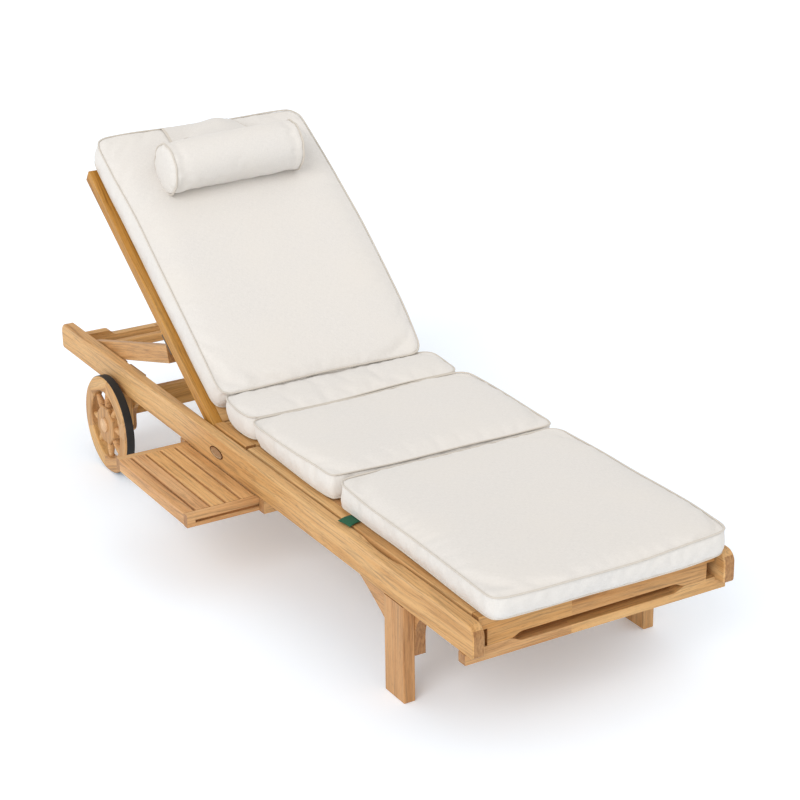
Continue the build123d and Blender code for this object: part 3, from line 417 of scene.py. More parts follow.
# Foot edge of a section's first slat, and the pitch
for section, first, pitch in (("hip", -0.003, 0.085), ("knee", -0.48, 0.0787), ("foot", -0.948, 0.0795)):
    dress(f"{section}_slats", teak(f"teak_{section}_slats", "x", start=first + SY - HALF_GAP, pitch=pitch))
dress("back_slats", teak("teak_back_slats", "x", start=0.061, pitch=0.0737, tilt=TILTED))
dress("back_low_rail", teak("teak_back_low", "x", tilt=TILTED))
dress("back_high_rail", teak("teak_back_high", "x", tilt=TILTED))
brass = metal("brass", (214, 172, 98), 0.26)
dress("axle", plugged())
dress("hinge_knee_half", brass)
dress("hinge_foot_half", brass)
dress("pivot_pins", metal("steel_pins", (176, 174, 170), 0.3))

# Soft goods
fabric = cloth_material("cushion_cloth", (221, 216, 210))
# The piping's cloth is the cushion cloth darkened: painted shade along the piping and the strap's hems.
shaded_welt_cloth = cloth_material("welt_cloth_painted_shade", (205, 197, 186), depth=0.7)
# The strap's cloth is the cushion cloth a little darker: painted shade on the strap.
strap_cloth_painted_shade = cloth_material("strap_cloth_painted_shade", (216, 211, 205))
# Radii of the piping along a cushion's top and bottom edges
HIGH_WELT = 0.0021
LOW_WELT = 0.0017


def link(obj):
    """Puts a new object into the scene."""
    bpy.context.scene.collection.objects.link(obj)
    return obj


def new_object(name, verts, faces, uvs, mats):
    """A smooth mesh object from points, faces and one UV pair per face corner, laid out in metres."""
    mesh = bpy.data.meshes.new(name)
    mesh.from_pydata([tuple(v) for v in verts], [], faces)
    layer = mesh.uv_layers.new(name="UVMap")
    layer.data.foreach_set("uv", np.array([c for f in uvs for p in f for c in p], np.float32))
    for m in mats:
        mesh.materials.append(m)
    mesh.polygons.foreach_set("use_smooth", [True] * len(faces))
    mesh.update()
    return link(bpy.data.objects.new(name, mesh))


def ease(line):
    """Moves the inner points of an open line towards their neighbours."""
    line[1:-1] = 0.25 * line[:-2] + 0.5 * line[1:-1] + 0.25 * line[2:]


def eased_loop(points):
    """A closed line of points with its corners eased."""
    p = np.array(points, float)
    return 0.25 * np.roll(p, 1, 0) + 0.5 * p + 0.25 * np.roll(p, -1, 0)


def loop_run(points):
    """Distance along a closed line at each point, and at its end."""
    steps = np.diff(np.vstack([points, points[:1]]), axis=0)
    return np.concatenate([[0], np.cumsum(np.linalg.norm(steps, axis=1))])


def heading(points):
    """Direction of a closed line at each point, not at unit length."""
    return np.roll(points, -1, 0) - np.roll(points, 1, 0)


TUBE_SIDES = 8


def tube(points, radius, up=(0, 0, 1)):
    """Points, faces and UV of a round tube along a closed line that nowhere runs along up."""
    sides = TUBE_SIDES
    p = np.array(points, float)
    n = len(p)
    ahead = heading(p)
    ahead /= np.linalg.norm(ahead, axis=1)[:, None]
    side = np.cross(ahead, np.array(up, float))
    side /= np.maximum(np.linalg.norm(side, axis=1), 1e-9)[:, None]
    top = np.cross(side, ahead)
    run = loop_run(p)
    verts, faces, uvs = [], [], []
    for i in range(n):
        for k in range(sides):
            a = 2 * math.pi * k / sides
            verts.append(p[i] + radius * (math.cos(a) * side[i] + math.sin(a) * top[i]))
    for i in range(n):
        j = (i + 1) % n
        for k in range(sides):
            m = (k + 1) % sides
            faces.append((i * sides + k, i * sides + m, j * sides + m, j * sides + k))
            u0, u1 = run[i], run[i + 1]
            v0, v1 = (radius * 2 * math.pi * q / sides for q in (k, k + 1))
            uvs.append(((u0, v0), (u0, v1), (u1, v1), (u1, v0)))
    return verts, faces, uvs


# Frames that the cloth is simulated for
PUFF_FRAMES = 20


def puff(obj, pinned, cap, pressure=4.0, slack=-0.02):
    """Blows a closed cloth form up a little, holding the pinned points; no point moves beyond its cap."""
    start = np.array([v.co for v in obj.data.vertices], float)
    group = obj.vertex_groups.new(name="held")
    group.add([int(i) for i in pinned], 1.0, "REPLACE")
    mod = obj.modifiers.new("puff", "CLOTH")
    s = mod.settings
    s.quality = 6
    s.mass = 0.25
    s.tension_stiffness = 18
    s.compression_stiffness = 18
    s.shear_stiffness = 6
    s.bending_stiffness = 0.6
    s.use_pressure = True
    s.uniform_pressure_force = pressure
    s.shrink_min = slack
    s.vertex_group_mass = "held"
    s.effector_weights.gravity = 0
    mod.collision_settings.use_collision = False
    mod.collision_settings.use_self_collision = False
    mod.point_cache.frame_start = 1
    mod.point_cache.frame_end = PUFF_FRAMES
    scene = bpy.context.scene
    for f in range(1, PUFF_FRAMES + 1):
        scene.frame_set(f)
    got = obj.evaluated_get(bpy.context.evaluated_depsgraph_get())
    move = np.array([v.co for v in got.data.vertices], float) - start
    obj.modifiers.remove(mod)
    obj.vertex_groups.remove(group)
    scene.frame_set(1)
    far = np.linalg.norm(move, axis=1)
    # beyond half the cap, movement eases towards the cap
    half = 0.5 * np.broadcast_to(cap, far.shape)
    capped = np.where(far > half, half + half * np.tanh((far - half) / (half + 1e-9)), far)
    move *= (capped / np.maximum(far, 1e-9))[:, None]
    for v, c in zip(obj.data.vertices, start + move):
        v.co = c
    obj.data.update()


def apply_modifiers(obj):
    """Puts the evaluated mesh in the place of the object's own."""
    depsgraph = bpy.context.evaluated_depsgraph_get()
    old = obj.data
    got = obj.evaluated_get(depsgraph)
    mesh = bpy.data.meshes.new_from_object(got, preserve_all_data_layers=True, depsgraph=depsgraph)
    obj.modifiers.clear()
    obj.data = mesh
    bpy.data.meshes.remove(old)


def settle(obj, floor=None):
    """One subdivision, applied; nothing ends below its bed."""
    mod = obj.modifiers.new("soft", "SUBSURF")
    mod.levels = mod.render_levels = 1
    apply_modifiers(obj)
    if floor is not None:
        for v in obj.data.vertices:
            v.co.z = max(v.co.z, floor)


def thicken(obj, thickness):
    """Gives a sheet its thickness on its upper side."""
    mod = obj.modifiers.new("thick", "SOLIDIFY")
    mod.thickness = thickness
    mod.offset = 1.0
    apply_modifiers(obj)


def join(target, others):
    """Adds other mesh objects to the first."""
    bpy.ops.object.select_all(action="DESELECT")
    for o in others:
        o.select_set(True)
    target.select_set(True)
    bpy.context.view_layer.objects.active = target
    bpy.ops.object.join()


def plan_axis(half, radius, cell):
    """Grid lines from -half to half, with an even fan in each corner."""
    k = max(3, round(radius / cell * 1.3))
    straight = half - radius
    m = max(2, round(2 * straight / cell))
    line = [-half + radius * i / k for i in range(k)]
    line += [-straight + 2 * straight * i / m for i in range(m)]
    line += [straight + radius * i / k for i in range(k + 1)]
    return line


def level(*values):
    """An even curve at one value, or evenly spaced points."""
    if len(values) == 1:
        return [(0, values[0]), (1, values[0])]
    return [(i / (len(values) - 1), v) for i, v in enumerate(values)]


def curve(points):
    """A smooth line through points: place (0 to 1) against a value in millimetres, given back in metres."""
    p = np.array(points, float)
    at = np.linspace(0, 1, 41)
    value = np.interp(at, p[:, 0], p[:, 1])
    for _ in range(6):
        ease(value)
    return lambda q: float(np.interp(q, at, value)) / 1000


# Cushions
CELL = 0.011
# Thickness that the side rows are drawn for; a thicker cushion's upper rows are stretched to fit
USUAL_THICK = 0.057
# Rows round the side, as height and inset: first those at the bottom welt, then those above it
WELT_ROWS = ((0.0025, 0.0045), (0.007, 0.0015))
SIDE_ROWS = ((0.013, -0.0005), (0.022, -0.0018), (0.032, -0.0022), (0.042, -0.0016), (0.050, -0.0005))
# The underside lies this far over the deck, and is this much smaller at each side
UNDERSIDE = 0.0004
UNDER_INSET = 0.008
# Unevenness of the outline, the sides, the top edge and the top
OUTLINE_WAVE = 0.0016
DENT = 0.002
EDGE_WAVE = 0.0024
TOP_WAVE = 0.0016
# How far the cloth may swell on the top, and round the side
SWELL = 0.009
SIDE_SWELL = 0.0045


class Plan:
    """A cushion seen from above, as a grid fitted between its four sides."""

    def __init__(self, sides, thick, radius, corners, seed):
        self.left, self.right, self.foot, self.head = ([curve(c) for c in pair] for pair in sides)
        self.thick = thick
        self.seed = seed
        self.half_x = (self.right[1](0.5) - self.left[1](0.5)) / 2
        self.half_y = (self.head[1](0.5) - self.foot[1](0.5)) / 2
        self.radius_x = radius
        self.radius_y = min(radius, self.half_y * 0.45)
        self.us = plan_axis(self.half_x, self.radius_x, CELL)
        self.vs = plan_axis(self.half_y, self.radius_y, CELL)
        self.corners = dict(zip(((-1, -1), (1, -1), (1, 1), (-1, 1)), corners))
        nu, nv = len(self.us), len(self.vs)
        self.ring = [(i, 0) for i in range(nu)] + [(nu - 1, j) for j in range(1, nv)]
        self.ring += [(i, nv - 1) for i in range(nu - 2, -1, -1)] + [(0, j) for j in range(nv - 2, 0, -1)]
        edge = np.array([self.place(i, j, thick * 0.5)[0] for i, j in self.ring])
        self.run = loop_run(edge)
        ahead = heading(edge)
        self.out = np.stack([ahead[:, 1], -ahead[:, 0], 0 * ahead[:, 0]], 1)
        self.out /= np.linalg.norm(self.out, axis=1)[:, None]

    def place(self, i, j, z):
        """A grid point at a height, the back lying level, and how far out it is, from -1 to 1 each way."""
        u, v = self.us[i], self.vs[j]
        flat_x, flat_y = self.half_x - self.radius_x, self.half_y - self.radius_y
        p, q = (abs(u) - flat_x) / self.radius_x, (abs(v) - flat_y) / self.radius_y
        x, y = u, v
        if p > 0 and q > 0:
            f = max(p, q) / math.hypot(p, q)
            f = 1 + self.corners[1 if u > 0 else -1, 1 if v > 0 else -1] * (f - 1)
            x = math.copysign(flat_x + p * f * self.radius_x, u)
            y = math.copysign(flat_y + q * f * self.radius_y, v)
        s, t = x / self.half_x, y / self.half_y
        g = min(max(z / self.thick, 0.0), 1.05)
        a, b = (s + 1) / 2, (t + 1) / 2
        x0, x1 = (c[0](b) + (c[1](b) - c[0](b)) * g for c in (self.left, self.right))
        y0, y1 = (c[0](a) + (c[1](a) - c[0](a)) * g for c in (self.foot, self.head))
        x, y = x0 + (x1 - x0) * a, y0 + (y1 - y0) * b
        w = Vector((s * 2.3 + self.seed, t * 2.3 * self.half_y / self.half_x + self.seed * 1.7, 0.3))
        x += OUTLINE_WAVE * noise.noise(w)
        y += OUTLINE_WAVE * noise.noise(w + Vector((9, 4, 2)))
        return np.array((x + SX, y + SY, DECK + z)), s, t

    def side_point(self, k, z, inset):
        """A point of a row round the side."""
        point = self.place(*self.ring[k], z)[0]
        point -= self.out[k] * inset
        # soft dents along the sides, deepest halfway up
        depth = 4 * (z / self.thick) * (1 - z / self.thick)
        dent = noise.noise(Vector((self.run[k] * 9, z * 25, self.seed + 5.0)))
        point -= self.out[k] * DENT * depth * dent
        if z == self.thick:
            point[2] += EDGE_WAVE * noise.noise(Vector((self.run[k] * 5, self.seed, 0.5)))
        return point

    def under_point(self, i, j):
        """A point of the underside."""
        point, s, t = self.place(i, j, UNDERSIDE)
        point[0] -= UNDER_INSET * s
        point[1] -= UNDER_INSET * t
        return point

    def top_point(self, i, j, crown):
        """A point of the crowned top; a short cushion is rounded more from foot to head."""
        point, s, t = self.place(i, j, self.thick)
        rise = (1 - abs(s) ** 6) * (1 - abs(t) ** (6 if self.half_y > 0.1 else 2.5))
        wave = noise.noise(Vector((point[0] * 6, point[1] * 6, self.seed)))
        point[2] += crown * rise + TOP_WAVE * wave
        return point


def shell(plan, crown):
    """A cushion's closed cloth form: points, faces, UV, points of the underside and rows round the side."""
    grid = [(i, j) for i in range(len(plan.us)) for j in range(len(plan.vs))]
    ring = range(len(plan.ring))
    verts = []
    bottom = {}
    for i, j in grid:
        bottom[i, j] = len(verts)
        verts.append(plan.under_point(i, j))
    share = plan.thick / USUAL_THICK
    rows = [*WELT_ROWS, *((z * share, inset) for z, inset in SIDE_ROWS), (plan.thick, 0.0)]
    bands = []
    for z, inset in rows:
        bands.append([len(verts) + k for k in ring])
        verts += [plan.side_point(k, z, inset) for k in ring]
    top = dict(zip(plan.ring, bands[-1]))
    for i, j in grid:
        if (i, j) not in top:
            top[i, j] = len(verts)
            verts.append(plan.top_point(i, j, crown))
    faces, uvs = [], []
    for i in range(len(plan.us) - 1):
        for j in range(len(plan.vs) - 1):
            over = (top[i, j], top[i + 1, j], top[i + 1, j + 1], top[i, j + 1])
            under = (bottom[i, j], bottom[i, j + 1], bottom[i + 1, j + 1], bottom[i + 1, j])
            for f in (over, under):
                faces.append(f)
                uvs.append(tuple((verts[v][0], verts[v][1]) for v in f))
    heights = [0.0] + [z for z, _ in rows]
    loops = [[bottom[ij] for ij in plan.ring]] + bands
    for b in range(len(bands)):
        v0, v1 = heights[b], heights[b + 1]
        for k in ring:
            m = (k + 1) % len(ring)
            faces.append((loops[b][k], loops[b][m], loops[b + 1][m], loops[b + 1][k]))
            u0, u1 = plan.run[k], plan.run[k + 1]
            uvs.append(((u0, v0), (u1, v0), (u1, v1), (u0, v1)))
    return verts, faces, uvs, list(bottom.values()), bands


def points_of(obj, indices):
    """Places of some of an object's points."""
    return np.array([obj.data.vertices[i].co for i in indices])


def cushion_welt(name, loop, radius, drop):
    """The piping along a cushion's edge, through twice as many points as the edge has."""
    path = eased_loop(loop)
    dense = np.empty((2 * len(path), 3))
    dense[0::2] = path
    dense[1::2] = (9 * (path + np.roll(path, -1, 0)) - np.roll(path, 1, 0) - np.roll(path, -2, 0)) / 16
    away = np.cross(heading(dense), (0, 0, 1.0))
    away /= np.linalg.norm(away, axis=1)[:, None]
    dense += away * 0.0004
    dense[:, 2] -= drop
    v, f, u = tube(dense, radius)
    return new_object(name, v, f, u, [shaded_welt_cloth])


def cushion(
    name, node, body, left, right, foot, head, thick=USUAL_THICK, radius=0.034,
    corners=(1, 1, 1, 1), seed=0, turn=LEVEL, crown=0.006, lift=None, extra=(),
):
    """A box cushion with a welted edge.

    Each side is two curves, of its bottom and of its top edge, in the drawing's millimetres: left and
    right run from foot to head, foot and head from left to right. The corners' roundness goes foot-left,
    foot-right, head-right, head-left.
    """
    plan = Plan((left, right, foot, head), thick, radius, corners, seed)
    verts, faces, uvs, bottom, bands = shell(plan, crown + (0.0))
    obj = new_object(name, verts, faces, uvs, [fabric, shaded_welt_cloth])
    caps = np.full(len(verts), SWELL)
    for band in bands:
        caps[band] = SIDE_SWELL
    puff(obj, sorted({*bottom, *bands[0], *bands[1], *bands[-1]}), caps)
    low, high = (points_of(obj, band) for band in (bands[1], bands[-1]))
    settle(obj, DECK + 0.0003)
    high_welt = cushion_welt(f"{name}_high_welt", high, HIGH_WELT, 0.0)
    low_welt = cushion_welt(f"{name}_low_welt", low, LOW_WELT, 0.0002)
    join(obj, [high_welt, low_welt, *extra])
    if lift is not None:
        for v in obj.data.vertices:
            v.co.z += lift(v.co)
    obj.data.transform(turn)
    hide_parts(node)
    if body:
        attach(obj, body)
    return obj


# The raised back lifts the hip cushion's head end from this y on, over this length
LIFT_START = 0.075
LIFT_LENGTH = 0.083
# How far it lifts the underside and the top
LIFT_LOW = 0.028
LIFT_HIGH = 0.0045


def hip_lift(co):
    """How far the raised back pushes up a point of the hip cushion."""
    reach = max(0.0, (co.y - LIFT_START) / LIFT_LENGTH)
    low = max(0.0, 1 - (co.z - DECK) / 0.05)
    return LIFT_LOW * reach ** 2.2 * low + LIFT_HIGH * reach ** 1.5 * (1 - low)


def label_cloth():
    """Green ribbed tape."""
    n = Nodes("label_cloth")
    uv = n.add("ShaderNodeUVMap").outputs[0]
    rib = n.noise(uv, 2.0, (1500.0, 300.0, 1.0)).outputs["Fac"]
    color = n.mix(n.ramp(rib, (0.3, 0.0), (0.7, 1.0)), linear((8, 66, 42)), linear((16, 96, 62)))
    n.surface(Base_Color=color, Roughness=0.75)
    n.bump(rib, 0.4, 0.0004)
    return n.mat


# The label's corners in the drawing's metres: head end and foot end at the cushion, then the outer ones
LABEL_INNER = ((-0.262, -0.452, 0.2934), (-0.2585, -0.489, 0.2934))
LABEL_OUTER = ((-0.2985, -0.4585, 0.2916), (-0.2925, -0.4985, 0.2916))
LABEL_WIDE, LABEL_LONG, LABEL_THICK = 0.04, 0.037, 0.0007


def label():
    """A small blank green label, sewn in under the left edge, lying out over the frame."""
    shift = Vector((SX, SY, 0))
    head_in, foot_in, head_out, foot_out = (Vector(c) + shift for c in LABEL_INNER + LABEL_OUTER)
    wide, long = 10, 8
    verts, faces, uvs = [], [], []
    for i in range(wide + 1):
        for j in range(long + 1):
            a, b = i / wide, j / long
            p = (head_in * (1 - a) + head_out * a) * (1 - b) + (foot_in * (1 - a) + foot_out * a) * b
            bow = 0.0022 * math.sin(math.pi * a) + 0.0016 * a * a * math.sin(3.0 * b)
            verts.append(p + Vector((0, 0, bow)))
    row = long + 1
    for i in range(wide):
        for j in range(long):
            f = tuple(i * row + j + d for d in (0, row, row + 1, 1))
            faces.append(f)
            uvs.append(tuple((LABEL_WIDE * (k // row) / wide, LABEL_LONG * (k % row) / long) for k in f))
    obj = new_object("label", verts, faces, uvs, [label_cloth()])
    thicken(obj, LABEL_THICK)
    return obj


hip = cushion(
    "hip_pad", "hip_cushion", None,
    left=(level(-257, -260, -260, -257), level(-257, -262, -260, -255)),
    right=(level(292, 297, 298, 297), level(292, 298, 302, 300)),
    foot=(level(1, -4, -2, 0, -1), level(9, 1, 5, 12, 10)),
    head=(level(150), level(156, 155, 154, 155)),
    radius=0.03, corners=(0.8, 1, 1, 0.8), seed=1, lift=hip_lift,
)
knee = cushion(
    "knee_pad", "knee_cushion", "knee_section",
    left=(level(-263, -267, -265, -262, -260, -257), level(-258, -260, -267, -270, -270, -266)),
    right=(level(296, 298, 299, 299, 297), level(298, 302, 305, 307, 303)),
    foot=(level(-371, -371, -370, -371, -371), level(-364, -373, -374, -379, -376)),
    head=(level(-12), level(1, -6, -2, 5, 3)),
    radius=0.03, corners=(0.45, 0.7, 1, 1), seed=2,
)
cushion(
    "foot_pad", "foot_cushion", "foot_section",
    left=(level(-276, -272, -267, -263, -263, -266), level(-280, -276, -272, -270, -267, -261)),
    right=(level(280, 283, 283.5, 283.5, 283), level(283, 293, 296, 294, 295, 292)),
    foot=(level(-1010, -1013, -1013, -1020, -1022, -1012), level(-1020, -1030, -1034, -1034, -1024, -1012)),
    head=(level(-394), level(-391, -391, -392, -393, -394)),
    corners=(0.75, 0.75, 1, 0.8), seed=3, extra=(label(),),
)
cushion(
    "back_pad", "back_cushion", "back",
    left=(level(-262, -263, -262, -262, -263, -260), level(-265, -262, -261, -258, -256, -262, -261)),
    right=(level(286, 290, 292, 292, 290), level(272, 291, 300, 306, 307, 305, 298)),
    foot=(level(205), level(200, 199, 201, 198, 197)),
    head=(level(1000, 1001, 1000), level(1001, 1004, 1002, 999, 999, 1001, 1000)),
    thick=0.070, corners=(0.8, 0.9, 1.1, 0.8), seed=4, turn=BACK, crown=0.007,
)
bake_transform(hip)
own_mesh(knee)

# Headrest roll, placed with the back lying level
ROLL_ENDS = (-0.1545 + SX, 0.197 + SX)
ROLL_Y, ROLL_Z = 0.8385, 0.4195
ROLL_RADIUS = 0.0615
ROLL_WELT = 0.0023
ROLL_YAW = math.radians(1.8)
# Top of the cushion that the roll lies on
ROLL_BED = 0.3702
ROLL_AROUND, ROLL_ALONG = 64, 36
# Rings on an end disc, as shares of the radius, and how far the disc bulges
DISC_RINGS = (0.16, 0.36, 0.56, 0.74, 0.88)
DISC_BULGE = 0.0075


def roll_form():
    """Points, faces and UV of the roll, and the points of its two seams."""
    x0, x1 = ROLL_ENDS
    verts, faces, uvs, loops = [], [], [], []

    def axis_y(x):
        return ROLL_Y + (x - (x0 + x1) / 2) * math.sin(ROLL_YAW)

    def section(kind, x, scale, end):
        """A ring of points at x; end is 1 at a seam, where the cloth is puckered, and fades from there."""
        ids = []
        for k in range(ROLL_AROUND):
            a = 2 * math.pi * k / ROLL_AROUND
            pucker = 0.0013 * end * (math.sin(9 * a + 1.1 * (x > 0.1)) + 0.6 * math.sin(14 * a + 2.0))
            reach = ROLL_RADIUS * scale + pucker + 0.0016 * math.sin(a) * (1 - end)
            ids.append(len(verts))
            verts.append((x, axis_y(x) + reach * math.cos(a), max(ROLL_Z + reach * math.sin(a), ROLL_BED)))
        loops.append((kind, ids))

    for s in DISC_RINGS:
        section("disc", x0 - DISC_BULGE * math.sqrt(1 - s * s), s, 0.5 * s)
    section("seam", x0, 1.0, 1.0)
    for i in range(1, ROLL_ALONG):
        t = i / ROLL_ALONG
        end = math.exp(-min(t, 1 - t) * (x1 - x0) / 0.02)
        scale = 1.0 + 0.014 * (1 - abs(2 * t - 1) ** 3) - 0.005 * math.sin(3 * math.pi * t)
        section("body", x0 + (x1 - x0) * t, scale, end)
    section("seam", x1, 1.0, 1.0)
    for s in reversed(DISC_RINGS):
        section("disc", x1 + DISC_BULGE * math.sqrt(1 - s * s), s, 0.5 * s)
    for (kind_a, a), (kind_b, b) in zip(loops, loops[1:]):
        for k in range(ROLL_AROUND):
            m = (k + 1) % ROLL_AROUND
            f = (a[k], a[m], b[m], b[k])
            faces.append(f)
            if "disc" in (kind_a, kind_b):
                uvs.append(tuple((verts[i][1], verts[i][2]) for i in f))
            else:
                v0, v1 = (ROLL_RADIUS * 2 * math.pi * q / ROLL_AROUND for q in (k, k + 1))
                uvs.append(tuple((verts[i][0], v) for i, v in zip(f, (v0, v1, v1, v0))))
    first, last = loops[0][1], loops[-1][1]
    for ids, x in ((first, x0 - DISC_BULGE), (last, x1 + DISC_BULGE)):
        centre = len(verts)
        verts.append((x, axis_y(x), ROLL_Z))
        for k in range(ROLL_AROUND):
            m = (k + 1) % ROLL_AROUND
            f = (ids[m], ids[k], centre) if ids is first else (ids[k], ids[m], centre)
            faces.append(f)
            uvs.append(tuple((verts[i][1], verts[i][2]) for i in f))
    return verts, faces, uvs, [ids for kind, ids in loops if kind == "seam"]


def roll_welt(name, line):
    """The piping round an end of the roll, a little outside the seam and clear of the cushion below."""
    path = eased_loop(line)
    outward = path - path.mean(0)
    path += outward / np.linalg.norm(outward, axis=1)[:, None] * 0.0008
    path[:, 2] = np.maximum(path[:, 2], ROLL_BED + 0.0018)
    v, f, u = tube(path, ROLL_WELT, up=(1, 0, 0))
    return new_object(name, v, f, u, [shaded_welt_cloth])


def headrest():
    """A round bolster with puckered, welted end discs, lying on the back cushion."""
    verts, faces, uvs, seams = roll_form()
    obj = new_object("headrest_pad", verts, faces, uvs, [fabric, shaded_welt_cloth])
    bedded = [i for i, v in enumerate(verts) if v[2] <= ROLL_BED + 0.0005]
    held = sorted({*bedded, *seams[0], *seams[1]})
    puff(obj, held, np.full(len(verts), 0.003), pressure=3.0, slack=-0.03)
    lines = [points_of(obj, seam) for seam in seams]
    settle(obj, ROLL_BED)
    join(obj, [roll_welt(f"headrest_welt_{k}", line) for k, line in enumerate(lines)])
    obj.data.transform(BACK)
    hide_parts("headrest_roll")
    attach(obj, "back")


# Flap, as paths of y and z from the roll over the cushion's edge and down behind it, the back lying level
FLAP_ENDS = (-0.086 + SX, 0.1 + SX)
FLAP_THICK = 0.0018
BEHIND = ((1.0125, 0.353), (1.0140, 0.340), (1.0143, 0.3285), (1.0143, 0.3205))
# The slack side runs straight from the roll to the edge, the left side lies on the cushion
SLACK = (
    (0.8905, 0.4560), (0.8965, 0.4475), (0.906, 0.440), (0.93, 0.4235),
    (0.955, 0.4065), (0.98, 0.3895), (0.995, 0.3775), (1.0055, 0.366), *BEHIND,
)
LYING = (
    (0.8915, 0.4550), (0.9005, 0.4430), (0.9065, 0.4270), (0.9100, 0.4080),
    (0.9180, 0.3880), (0.9400, 0.3765), (0.9830, 0.3755), (1.0015, 0.3690), *BEHIND,
)
FLAP_STEPS, FLAP_COLUMNS = 40, 28
# Top of the back cushion near its head edge, as y against z
EDGE_Y, EDGE_Z = (0.985, 1.0085, 1.0095), (0.3745, 0.3665, 0.0)


def spaced(path, length=None):
    """Distance, y and z of evenly spaced points on a smoothed path, over all of it or a given length."""
    fine = np.linspace(0, 1, 200)
    knots = np.linspace(0, 1, len(path))
    p = np.stack([np.interp(fine, knots, path[:, 0]), np.interp(fine, knots, path[:, 1])], axis=1)
    for _ in range(40):
        ease(p)
    run = np.concatenate([[0], np.cumsum(np.hypot(*np.diff(p, axis=0).T))])
    s = np.linspace(0, length or run[-1], FLAP_STEPS)
    return s, np.interp(s, run, p[:, 0]), np.interp(s, run, p[:, 1])


def flap():
    """The strap that holds the headrest, from the roll over the cushion's edge and down behind it."""
    slack, lying = np.array(SLACK), np.array(LYING)
    s = spaced(slack)[0]
    length = float(s[-1])
    x0, x1 = FLAP_ENDS
    columns = []
    for j in range(FLAP_COLUMNS + 1):
        w = 1 / (1 + math.exp((j / FLAP_COLUMNS - 0.36) / 0.07))
        columns.append((*spaced(slack * (1 - w) + lying * w, length)[1:], w))
    verts, faces, uvs = [], [], []
    for i in range(FLAP_STEPS):
        t = i / (FLAP_STEPS - 1)
        free = math.exp(-((t - 0.5) / 0.24) ** 2)
        for j, (py, pz, w) in enumerate(columns):
            q = j / FLAP_COLUMNS
            # the slack cloth stands in a soft hump, highest to the right of its middle
            hump = math.exp(-((q - 0.72) / 0.2) ** 2)
            up = free * (1 - w) * (0.012 * hump + 0.0012 * math.sin(8.0 * q + 3.0 * t) - 0.003 * (1 - hump))
            y, z = py[i] + up * 0.5, pz[i] + up * 0.87
            verts.append((x0 + (x1 - x0) * q, y, max(z, np.interp(y, EDGE_Y, EDGE_Z))))
    row = FLAP_COLUMNS + 1
    for i in range(FLAP_STEPS - 1):
        for j in range(FLAP_COLUMNS):
            f = tuple(i * row + j + d for d in (row, row + 1, 1, 0))
            faces.append(f)
            uvs.append(tuple((verts[v][0], s[v // row]) for v in f))
    obj = new_object("headrest_strap", verts, faces, uvs, [strap_cloth_painted_shade, shaded_welt_cloth])
    hems = [int(k % FLAP_COLUMNS in (0, FLAP_COLUMNS - 1)) for k in range(len(faces))]
    obj.data.polygons.foreach_set("material_index", hems)
    thicken(obj, FLAP_THICK)
    settle(obj)
    obj.data.transform(BACK)
    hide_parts("headrest_flap")
    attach(obj, "back")


# Oval plate: its centre and half sizes, and its rings as share of the size and height over the rail
PLAQUE_CENTRE = Vector((-0.312 + SX, 0.0863 + SY, 0.2498))
PLAQUE_LONG, PLAQUE_HIGH = 0.032, 0.0125
PLAQUE_GAP = 0.0001
RIM_RINGS = ((1.0, 0.0), (1.0, 0.0009), (0.985, 0.0014), (0.93, 0.0015), (0.88, 0.0013))
FACE_RINGS = ((0.85, 0.0008), (0.5, 0.0008))
PLAQUE_AROUND = 48


def plaque():
    """A blank oval plate on the left rail's outer face, with a raised rim."""
    rings = RIM_RINGS + FACE_RINGS
    around = range(PLAQUE_AROUND)
    verts, faces = [], []
    for share, rise in rings:
        for k in around:
            a = 2 * math.pi * k / PLAQUE_AROUND
            y, z = PLAQUE_LONG * share * math.cos(a), PLAQUE_HIGH * share * math.sin(a)
            verts.append(PLAQUE_CENTRE + Vector((-rise - PLAQUE_GAP, y, z)))
    middle = len(verts)
    verts.append(PLAQUE_CENTRE + Vector((-FACE_RINGS[-1][1] - PLAQUE_GAP, 0, 0)))
    for r in range(0, middle - PLAQUE_AROUND, PLAQUE_AROUND):
        for k in around:
            m = (k + 1) % PLAQUE_AROUND
            faces.append((r + k, r + PLAQUE_AROUND + k, r + PLAQUE_AROUND + m, r + m))
    last = middle - PLAQUE_AROUND
    faces += [(last + k, middle, last + (k + 1) % PLAQUE_AROUND) for k in around]
    faces.append(tuple(around))
    uvs = [tuple((verts[i][1], verts[i][2]) for i in f) for f in faces]
    rim = metal("plaque_bronze", (112, 74, 46), 0.42)
    face = metal("plaque_face", (214, 184, 148), 0.5)
    obj = new_object("rail_plaque", verts, faces, uvs, [rim, face])
    # the face starts on the rim's inner slope, and the last polygon is the plate's back
    for i in range((len(RIM_RINGS) - 1) * PLAQUE_AROUND, len(faces) - 1):
        obj.data.polygons[i].material_index = 1
    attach(obj, "frame")


headrest()
flap()
plaque()

# Floor, lights and camera
FLOOR_REACH = 30


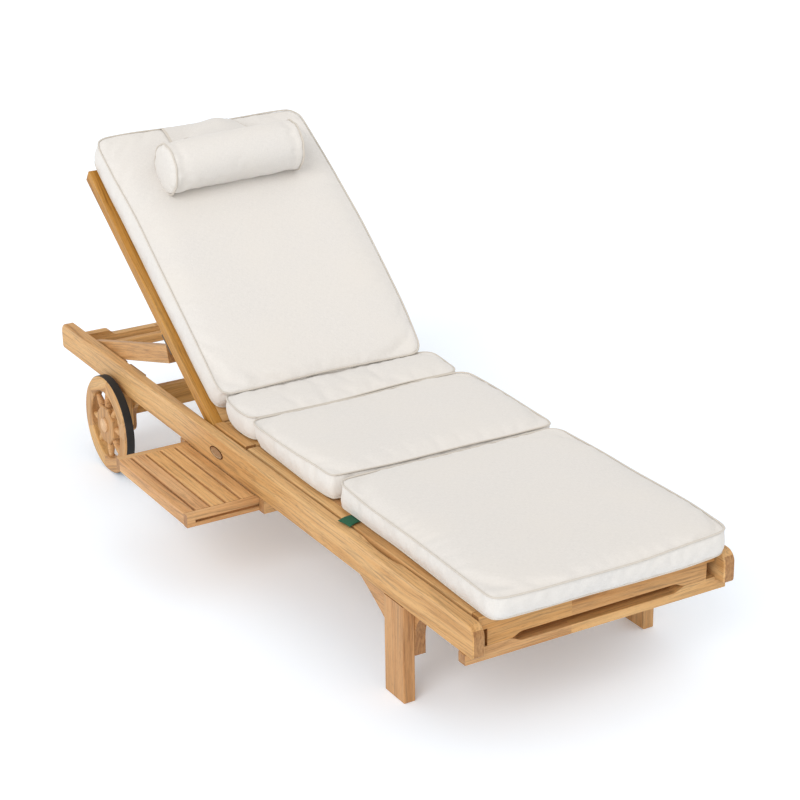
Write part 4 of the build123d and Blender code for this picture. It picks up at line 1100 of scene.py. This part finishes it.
def studio():
    """A wide pale floor."""
    n = Nodes("studio_floor")
    mist = n.noise(n.place(), 2.0, scale=1.5).outputs["Fac"]
    n.surface(Base_Color=n.mix(mist, linear((243, 248, 254)), linear((240, 246, 253))), Roughness=0.9)
    n.surface(Emission_Color=(0.84, 0.93, 1.0, 1.0), Emission_Strength=0.15)
    mesh = bpy.data.meshes.new("floor")
    corners = [(x * FLOOR_REACH, y * FLOOR_REACH, 0) for x, y in ((-1, -1), (1, -1), (1, 1), (-1, 1))]
    mesh.from_pydata(corners, [], [(0, 1, 2, 3)])
    mesh.materials.append(n.mat)
    floor = link(bpy.data.objects.new("floor", mesh))


def sun(name, toward, strength, spread):
    """Soft light from a direction."""
    light = bpy.data.lights.new(name, "SUN")
    light.energy = strength
    light.angle = math.radians(spread)
    obj = link(bpy.data.objects.new(name, light))
    obj.location = Vector(toward) * 4
    obj.rotation_euler = Vector(toward).to_track_quat("Z", "Y").to_euler()


def sky():
    """An even white surround, shown without any colour grading."""
    world = bpy.data.worlds.new("world")
    world.use_nodes = True
    background = world.node_tree.nodes["Background"]
    background.inputs["Color"].default_value = (1, 1, 1, 1)
    background.inputs["Strength"].default_value = 0.8
    bpy.context.scene.world = world
    bpy.context.scene.view_settings.view_transform = "Standard"
    bpy.context.scene.view_settings.look = "None"


# The camera's angles in radians, its distance, and the point that it looks at
AZIMUTH, ELEVATION, LEAN = -0.530979544, 0.383730399, -0.0138486177
DISTANCE = 5.44557479
TARGET = Vector((0.396437, 0.356184, 0.15))
SENSOR, LENS = 36, 96.7366917


def photo_camera():
    """The camera at the photograph's place."""
    sine, cosine, reach = math.sin(AZIMUTH), math.cos(AZIMUTH), math.cos(ELEVATION)
    away = Vector((sine * reach, -cosine * reach, math.sin(ELEVATION)))
    right = Vector((cosine, sine, 0))
    up = away.cross(right)
    c, s = math.cos(LEAN), math.sin(LEAN)
    right, up = c * right + s * up, -s * right + c * up
    data = bpy.data.cameras.new("camera")
    data.sensor_width = SENSOR
    data.lens = LENS
    data.clip_end = 60
    camera = link(bpy.data.objects.new("camera", data))
    turn = Matrix((right, up, away)).transposed().to_4x4()
    camera.matrix_world = Matrix.Translation(TARGET + DISTANCE * away) @ turn
    bpy.context.scene.camera = camera


studio()
sun("key_light", (-0.72, -0.5, 0.55), 1.45, 40)
sun("fill_light", (0.5, -0.3, 1.0), 0.3, 60)
sky()
photo_camera()
